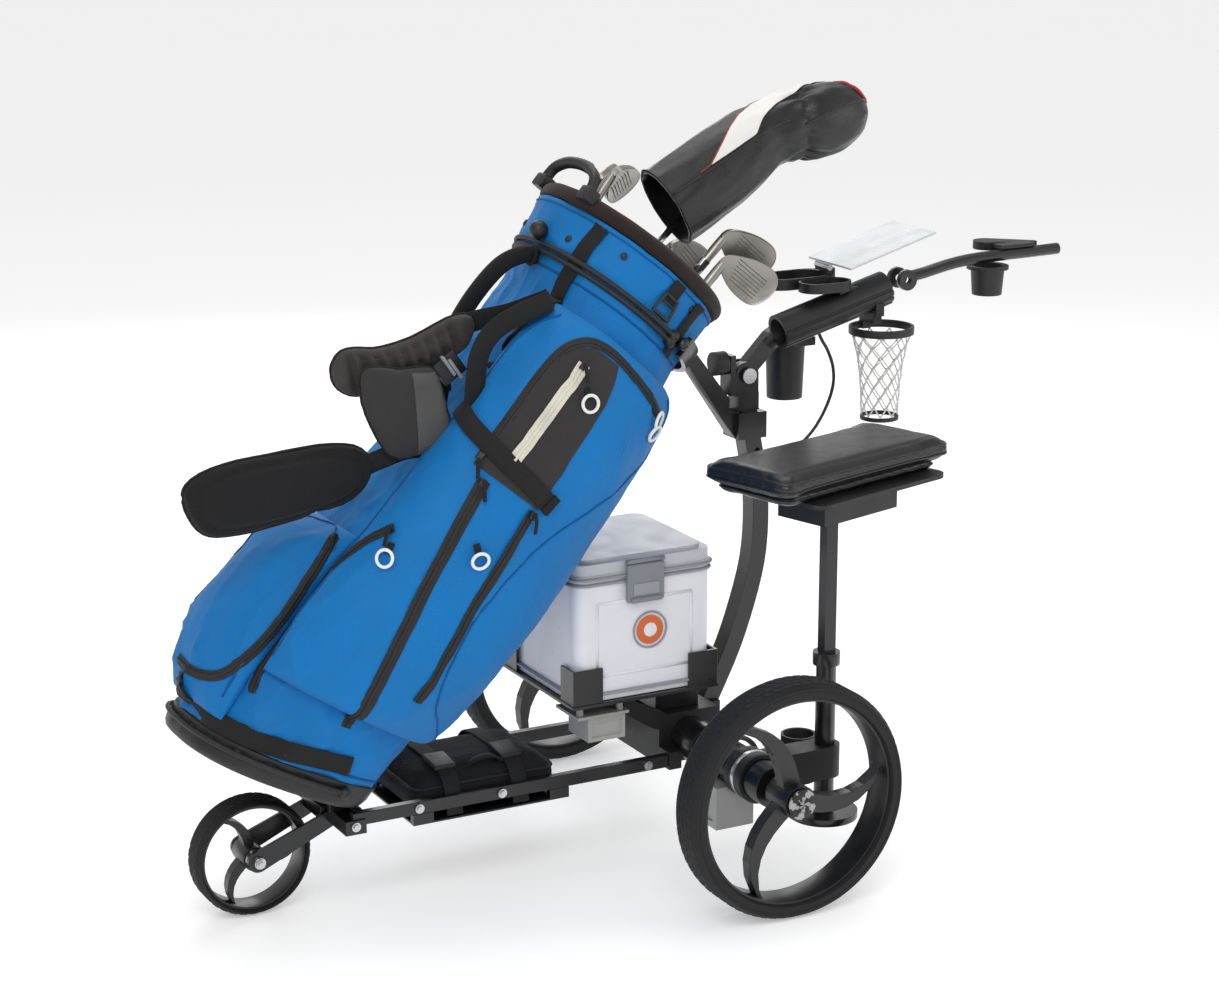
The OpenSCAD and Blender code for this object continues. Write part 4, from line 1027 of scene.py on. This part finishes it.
def iron(i):
    """One iron: shaft, hosel, head with its scoring lines and badge."""
    name = "iron_%d" % (i + 1)
    a, b, d = club_shaft(name, IRON_BUTTS[i], IRON_NECKS[i], name)
    x, y, z = axes_of(d, IRON_TURNS[i])
    hosel = [(0.0001, -0.014), (0.0066, -0.014), (0.0070, 0.004), (0.0068, 0.018), (0.0062, 0.026),
             (0.0001, 0.028)]
    lathe(name + "_hosel", hosel, b, z, CLUB, name, n=20, closed=False)
    # Head outline in the blade's plane: heel, leading edge, toe and top line
    outline = spline([(-4, 12, 0), (-6, 20, 0), (-2, 30, 0), (12, 40, 0), (34, 50, 0), (58, 54, 0), (72, 48, 0),
                      (79, 34, 0), (77, 14, 0), (68, -1, 0), (52, -6, 0), (28, -4, 0), (8, 4, 0)], 4,
                     closed=True)
    middle = Vector((38, 24, 0))
    tilt = radians(14)

    def place(p, depth, shrink=1.0):
        q = middle + (p - middle) * shrink
        up = q.y * cos(tilt) + depth * sin(tilt)
        back = -q.y * sin(tilt) + depth * cos(tilt)
        return b + (x * q.x + y * (back + 2) + z * (up + 10)) / 1000

    rings = [[place(p, dep, k) for p in outline] for dep, k in
             ((-3.4, 0.93), (-4.0, 0.98), (-3.0, 1.0), (4.0, 1.0), (5.6, 0.97), (5.8, 0.86), (4.6, 0.82),
              (1.6, 0.76))]
    steps = len(outline)
    head = loft(name + "_head", rings, [CLUB, CLUB_DARK], name, sharp=28,
                pick=lambda f: 1 if f // steps >= 5 and f < 7 * steps else 0)
    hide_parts(name)
    # Scoring lines on the face
    for k in range(7):
        h = 6 + k * 5
        ends = [place(Vector((u, h, 0)), -4.1) for u in (20 - k, 62)]
        sweep("%s_groove_%d" % (name, k + 1), [ends[0], ends[0].lerp(ends[1], 0.5), ends[1]], 0.0004, CLUB_DARK,
              name, up=y, n=6)
    block(name + "_badge", place(Vector((40, 18, 0)), 2.4), (0.011, 0.005, 0.001), BAND, name,
          (x, z, y), 0.001)


def driver():
    """The driver whose head the headcover hides."""
    a, b, d = club_shaft("driver", (-66, 20, 44), (46, -6, 1070), "driver")
    centre = bag(61, -12, 1086)
    size, across = 42, bag(0, 1, 0) - bag(0, 0, 0)
    rings = []
    for i in range(17):
        u = pi * (0.02 + 0.96 * i / 16)
        ring = []
        for j in range(32):
            v = 2 * pi * j / 32
            deep = 0.62 * (1.0 if sin(v) > 0 else 0.7)
            ring.append(centre + (BAG_UNDER * 1.05 * cos(u) + across * 0.78 * sin(u) * cos(v)
                                  + BAG_ALONG * deep * sin(u) * sin(v)) * size)
        rings.append(ring)
    head = loft("driver_head", rings, GOLD, "driver", sharp=None)
    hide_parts("driver")


# Headcover: places along its bent middle in the bag's x and z, with its half width there
COVER = [(3, 922, 60), (20, 972, 60), (38, 1028, 57), (50, 1068, 52), (62, 1096, 47), (80, 1123, 49),
         (104, 1150, 53), (127, 1177, 50), (146, 1200, 38), (157, 1213, 21), (162, 1219, 5)]
STRIPE_LEFT = [(0.13, 240), (0.30, 190), (0.38, 165), (0.74, 120)]
STRIPE_RIGHT = [(0.13, 241), (0.30, 243.5), (0.36, 226), (0.46, 206), (0.58, 188), (0.74, 158)]


def headcover():
    """A leather sleeve: wide open skirt, a pinched waist, and a bulb over the club's head."""
    middle = spline([bag(x, -16 * (z - 922) / 290, z) for x, z, _ in COVER], 8)
    radius = [p.x for p in spline([Vector((r, 0, 0)) for _, _, r in COVER], 8)]
    count, last = 96, len(middle) - 1

    def skin(t, v, lift=0.0):
        """A point on the leather at t from mouth to tip and v degrees round."""
        k = min(int(t * last), last - 1)
        f = t * last - k
        p = middle[k].lerp(middle[k + 1], f)
        ahead = (middle[min(k + 3, last)] - middle[max(k - 2, 0)]).normalized()
        side = Vector((0, 1, 0)).cross(ahead).normalized()
        far = ahead.cross(side)
        c, s = cos(radians(v)), sin(radians(v))
        fold = 0.045 * noise.noise(Vector((c * 2.2, s * 2.2, t * 5)))
        fold += 0.030 * noise.noise(Vector((c * 4.5, s * 4.5, t * 14 + 3)))
        fold += 0.075 * max(0.0, 1 - abs(t - 0.53) / 0.10) * cos(radians(11 * v) + 2 * sin(radians(2 * v)))
        fold -= 0.11 * max(0.0, 1 - abs(t - 0.53) / 0.06) ** 2
        fold += 0.060 * max(0.0, 1 - abs(t - 0.86) / 0.07) * cos(radians(9 * v) + sin(radians(3 * v)))
        r = (radius[k] * (1 - f) + radius[k + 1] * f) * (1 + fold) / 1000 + lift
        return p + side * c * r + far * s * r * 0.82

    ts = [i / 79 for i in range(80)]
    rings = [[skin(t, 360 * j / count, -0.004) for j in range(count)] for t in (0.42, 0.2, 0.0)]
    rings += [[skin(t, 360 * j / count) for j in range(count)] for t in ts]
    cover = loft("headcover_sleeve", rings, COVER_LEATHER, "headcover")
    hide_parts("headcover")

    def edge(table, t):
        return float(np.interp(t, [q[0] for q in table], [q[1] for q in table]))

    rows, cols = 60, 14
    front, back = [], []
    for i in range(rows):
        t = 0.132 + 0.608 * i / (rows - 1)
        for j in range(cols):
            v = edge(STRIPE_LEFT, t) + (edge(STRIPE_RIGHT, t) - edge(STRIPE_LEFT, t)) * j / (cols - 1)
            front.append(skin(t, v, 0.0009))
            back.append(skin(t, v, -0.0006))
    closed_patch("headcover_stripe", front, back, rows, cols, COVER_WHITE, "headcover",
                 uvs=[(p.x, p.z) for p in front + back], sharp=50)
    lines = {
        "piping_left": (RED, 0.0011, [(t, edge(STRIPE_LEFT, t)) for t in np.linspace(0.10, 0.74, 40)]),
        "piping_right": (COVER_LEATHER, 0.0009,
                         [(t, edge(STRIPE_RIGHT, t)) for t in np.linspace(0.132, 0.74, 40)]),
        "piping_crown": (RED, 0.0028, [(0.74 + 0.19 * k / 20, 163 + 52 * sin(pi * k / 32)) for k in range(21)]),
        "seam_front": (COVER_LEATHER, 0.0012, [(0.01 + 0.45 * k / 30, 243 + 6 * k / 30) for k in range(31)]),
        "seam_bulb": (COVER_LEATHER, 0.0013, [(0.52 + 0.42 * k / 30, 262 - 34 * k / 30) for k in range(31)]),
        "seam_far": (COVER_LEATHER, 0.0012, [(0.01 + 0.93 * k / 40, 62) for k in range(41)]),
    }
    for name, (mat, r, places) in lines.items():
        sweep("headcover_" + name, [skin(t, v, 0.0008) for t, v in places], r, mat, "headcover", n=8)
    sweep("headcover_hem", [skin(0.004, 5 * k, 0.0004) for k in range(72)], 0.0018, COVER_LEATHER, "headcover",
          n=8, closed=True)


for number in range(5):
    iron(number)
driver()
headcover()


# --- seat

def seat_pads():
    """The seat's thick top pad and the thin one under it, with piped edges."""
    cx, cy = 24, 24
    outline = rounded_outline(179, 82, 22, waist=2)
    rings = layered(outline, (179, 82), ((578, 10), (580, 3), (588, 0), (594, 1), (600, 8), (601, 16)),
                    lambda x, y, z: seat(cx + x, cy + y, z))
    top = loft("seat_top_pad", rings, LEATHER)
    puff(top, 0.006, pressure=3.0)
    seams = [[seat(cx + x, cy + y, 604) for x in (-150, 150)] for y in (-58, 58)]
    press_lines(top, seams, 0.0016, 0.003)
    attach(top, "seat")
    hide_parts("seat_cushion")
    for name, z, k in (("upper", 600.5, 0.985), ("lower", 580, 1.0)):
        edge = [seat(cx + x * k, cy + y * k, z) for x, y in outline]
        sweep("seat_piping_" + name, snap_to(top, edge, 0.0004), 0.0019, LEATHER, "seat", n=8, closed=True)
    low = rounded_outline(162, 74, 20, waist=1)
    rings = layered(low, (162, 74), ((562.5, 14), (564, 6), (569, 2), (574, 6), (576.5, 14)),
                    lambda x, y, z: seat(cx - 2 + x, cy + y, z))
    under = loft("seat_lower_pad", rings, LEATHER)
    puff(under, 0.003, pressure=2.0)
    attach(under, "seat")
    path = [seat(cx - 2 + x * 0.995, cy + y * 0.995, 569) for x, y in low]
    sweep("seat_lower_piping", snap_to(under, path, 0.0003), 0.0015, LEATHER, "seat", n=8, closed=True)


seat_pads()


# --- cooler

def cooler():
    """Bands, raised frame, plain emblem and latch of the cooler."""
    x_mid, y_mid, half_x, half_y, corner = 548, -7, 108, 103, 20
    near = y_mid - half_y
    for name, grow, z, size, body in (("cooler_seam_band", 0.6, 424, (0.0042, 0.0022), "frame"),
                                      ("lid_seam_band", 2.6, 432.6, (0.0040, 0.0020), "lid"),
                                      ("cooler_base_band", 0.6, 266, (0.0050, 0.0020), "frame")):
        loop = [at(x_mid + x, y_mid + y, z) for x, y in
                rounded_outline(half_x + grow, half_y + grow, corner + grow)]
        sweep(name, loop, size, BAND, body, n=10, closed=True, square=4)
    # A raised frame on the near wall with a plain round emblem
    for name, (xa, za), (xb, zb) in (("low", (474, 291), (622, 291)), ("high", (474, 395), (622, 395)),
                                     ("left", (474, 291), (474, 395)), ("right", (622, 291), (622, 395))):
        a, b = at(xa, near - 0.2, za), at(xb, near - 0.2, zb)
        sweep("cooler_panel_rib_" + name, [a, a.lerp(b, 0.5), b], (0.0024, 0.0012), WHITE, "frame",
              up=(0, 1, 0), n=10)
    centre = at(556, near, 348)
    lathe("cooler_emblem_disc", [(0, -0.0003), (0.021, -0.0003), (0.021, 0.0010), (0.019, 0.0014), (0, 0.0014)],
          centre, (0, -1, 0), ORANGE, "frame", n=40, closed=False)
    torus("cooler_emblem_ring", centre + Vector((0, -0.0010, 0)), (0, 1, 0), 0.0255, 0.0016, BAND,
          "frame", n=40)
    lathe("cooler_emblem_dot", [(0, 0.0012), (0.010, 0.0012), (0.010, 0.0022), (0.009, 0.0026), (0, 0.0026)],
          centre, (0, -1, 0), RING, "frame", n=30, closed=False)
    # Latch: a plain grey clip with a recess and a hinge pin
    plate = block("latch_plate", at(544, -118.5, 421), (0.029, 0.0036, 0.027), LATCH, "latch", None, 0.003)
    block("latch_recess", at(544, -122.4, 412), (0.020, 0.0010, 0.0085), BAND, "latch", None, 0.0009)
    block("latch_lip", at(544, -121.6, 397), (0.024, 0.0038, 0.0035), LATCH, "latch", None, 0.002)
    sweep("latch_pin", [at(x, -118.5, 452) for x in (515, 544, 573)], 0.0037, LATCH, "latch", n=10)
    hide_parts("cooler_latch")
    # Lid: a shallow recess line on top
    path = [at(x_mid + x, y_mid + y, 455.3) for x, y in rounded_outline(84, 78, 16)]
    sweep("lid_top_line", path, (0.0016, 0.0010), LID_GREY, "lid", n=8, closed=True)


cooler()


# --- battery case

def battery_case():
    """The soft battery case with its zip, two straps and a handle."""
    cx, cy = 317, 0
    outline = rounded_outline(110, 80, 18, waist=1)
    layers = ((122.5, 8), (125, 2), (140, 0), (158, 1), (166, 10), (176, 20), (178, 30))
    rings = layered(outline, (110, 80), layers, lambda x, y, z: at(cx + x, cy + y, z))
    case = loft("battery_case", rings, MESH)
    puff(case, 0.004, pressure=2.0, voxel=0.006)
    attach(case, "frame")
    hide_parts("battery_bag")
    edge = [at(cx + x * 0.99, cy + y * 0.99, 161) for x, y in outline]
    sweep("battery_case_zip", snap_to(case, edge, 0.0006), (0.0034, 0.0016), TAPE, "frame", n=8, closed=True)
    for i, x in enumerate((262, 362)):
        half = ((97, 124), (92, 146), (84, 164), (66, 178), (30, 183))
        points = [at(x, -y, z) for y, z in half] + [at(x, y, z) for y, z in half[::-1]]
        path = spline(points, 5)
        normals = [(p - at(x, 0, 110)).normalized() for p in path]
        strap("battery_strap_%d" % (i + 1), path, normals, 0.024, 0.0024, WEBBING, "frame")
        block("battery_buckle_%d" % (i + 1), at(x, -46, 184.5), (0.016, 0.021, 0.0036), MOULD, "frame",
              ((1, 0, 0), (0, 1, 0.12), (0, -0.12, 1)), 0.002)
    loop = spline([at(300, -62, 178), at(306, -66, 186), at(330, -66, 188), at(346, -62, 178)], 6)
    sweep("battery_case_handle", loop, (0.008, 0.0022), WEBBING, "frame", up=(0, 0, 1), n=10)


battery_case()


def control_cable():
    """The cable from the fluted tube to the mast."""
    route = [(801, 0, 528), (826, 0, 534), (856, -2, 548), (884, -4, 572), (904, -6, 604), (914, -8, 636),
             (912, -10, 664), (900, -14, 690), (888, -18, 706), (880, -20, 719)]
    cable = sweep("control_cable_sleeve", spline([at(*p) for p in route], 8), 0.0024, CABLE, n=12)
    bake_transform(cable)
    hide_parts("control_cable")


control_cable()


# --- net

def ball_net():
    """Diamonds of knotted cord between the hoop and the lower ring."""
    cx, cy = 962, -58
    levels = [(599, 26.5), (624, 27.5), (650, 29), (684, 33.5), (717, 42)]
    count, low, high = 9, 599, 717
    knots = []
    for k in range(9):
        z = high + (low - high) * (k / 8)
        r = look(z, levels)
        turns = [2 * pi * (j + k / 2) / count for j in range(count)]
        knots.append([at(cx + r * cos(u), cy + r * sin(u), z) for u in turns])
    verts, faces = [], []

    def cord(p, q):
        mid = p.lerp(q, 0.5)
        mid.z -= 0.0012
        t = (q - p).normalized()
        side = t.cross(Vector((0, 0, 1))).normalized()
        top = side.cross(t)
        base, sides, radius = len(verts), 6, 0.0011
        for c in (p, mid, q):
            for i in range(sides):
                u = 2 * pi * i / sides
                verts.append(c + (side * cos(u) + top * sin(u)) * radius)
        faces.extend(tuple(base + k for k in f) for f in grid_faces(3, sides, close=True))
        faces.append(tuple(base + i for i in range(sides))[::-1])
        faces.append(tuple(base + 2 * sides + i for i in range(sides)))

    for k in range(8):
        for j in range(count):
            cord(knots[k][j], knots[k + 1][j])
            cord(knots[k][j], knots[k + 1][(j - 1) % count])
    net = make("ball_net_cords", verts, faces, NET, "handle", [(v.z, v.x) for v in verts])
    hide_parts("ball_net")
    verts, faces = [], []
    for p in [p for row in knots[1:8] for p in row]:
        base = len(verts)
        for dx, dy, dz in ((1, 0, 0), (-1, 0, 0), (0, 1, 0), (0, -1, 0), (0, 0, 1), (0, 0, -1)):
            verts.append(p + Vector((dx, dy, dz)) * 0.0021)
        for a, b in ((0, 2), (2, 1), (1, 3), (3, 0)):
            faces += [(base + a, base + b, base + 4), (base + b, base + a, base + 5)]
    make("ball_net_knots", verts, faces, NET, "handle")


ball_net()


# --- wheels

def wheel_detail(body, x, y, radius, half, side, cap_r):
    """Tread blocks round a tyre, a raised bead on each side, and a stepped hub cap on its outer side."""
    centre = at(x, y, radius)
    count = int(radius * 0.42)
    verts, faces = [], []
    # Each row: its place across the tyre, its shift round it in blocks, and its half width
    for across, shift, wide in ((-0.50, 0.0, 0.20), (-0.17, 0.5, 0.14), (0.17, 0.0, 0.14), (0.50, 0.5, 0.20)):
        for k in range(count):
            base = len(verts)
            for r, narrow in ((radius - 1.4, 1.0), (radius + 0.5, 0.9)):
                for u, w in ((0.14, -1), (0.86, -1), (0.86, 1), (0.14, 1)):
                    spin = 2 * pi * (k + shift + 0.5 + (u - 0.5) * narrow + 0.10 * w * wide / 0.14) / count
                    verts.append(centre + Vector((r * cos(spin), half * (across + w * wide * narrow * 0.8),
                                                  r * sin(spin))) / 1000)
            faces += [tuple(base + q for q in f) for f in
                      ((3, 2, 1, 0), (4, 5, 6, 7), (0, 1, 5, 4), (1, 2, 6, 5), (2, 3, 7, 6), (3, 0, 4, 7))]
    make(body + "_tread", verts, faces, TYRE, body, smooth=False)
    for k, s in enumerate((-1, 1)):
        ring = Vector((0, s * (half - 0.2) / 1000, 0))
        torus("%s_tyre_bead_%d" % (body, k + 1), centre + ring, (0, 1, 0), radius * 0.945 / 1000, 0.0010, TYRE,
              body, n=96, m=8)
    face = centre + Vector((0, side * (half + 0.4) / 1000, 0))
    cap = [(0, 0), (1, 0), (1, 0.0020), (0.86, 0.0034), (0.55, 0.0036), (0.50, 0.0022), (0.30, 0.0022),
           (0.26, 0.0040), (0, 0.0044)]
    lathe(body + "_hub_cap", [(cap_r * r, h) for r, h in cap], face, (0, side, 0), [MOULD, GREY_CAST], body,
          n=40, closed=False, pick=lambda k: 1 if k >= 5 else 0)


wheel_detail("front_wheel", 0, 0, FRONT_R, FRONT_HALF, -1, 0.015)
wheel_detail("rear_wheel_near", REAR_X, -REAR_Y, REAR_R, REAR_HALF, -1, 0.021)
wheel_detail("rear_wheel_far", REAR_X, REAR_Y, REAR_R, REAR_HALF, 1, 0.021)
lathe("axle_flange", [(0.034, -0.004), (0.041, -0.004), (0.041, 0.004), (0.034, 0.004)],
      at(REAR_X, -196, REAR_R), (0, 1, 0), STEEL, "frame", n=48)


# --- CAD nodes that are shown

FINISH = {
    TYRE: ["front_tyre", "rear_tyre_near", "rear_tyre_far"],
    RIM: ["front_rim", "rear_rim_near", "rear_rim_far"],
    STEEL: ["axles", "frame_bolts", "hinge_bolt"],
    PAINT: ["fork_arms", "fork_bridge", "frame_rails", "battery_tray", "axle_housing", "mast", "bag_bracket",
            "bag_cradle", "cooler_tray", "seat_post", "seat_foot", "handle_arm", "grip_arm"],
    MOULD: ["chassis_block", "seat_socket", "seat_box", "bottle_holder", "fluted_tube", "console_tray",
            "drink_holder", "net_hoop", "handle_knob", "grip_pod", "small_cup"],
    GREY_CAST: ["gearbox"],
    BOX_GREY: ["control_box"],
    WHITE: ["cooler_body"],
    LID_GREY: ["cooler_lid"],
    PANEL: ["screen_panel"],
}
for finish, names in FINISH.items():
    for node in names:
        dress(node, finish, 0.0 if finish is TYRE else 0.0008)
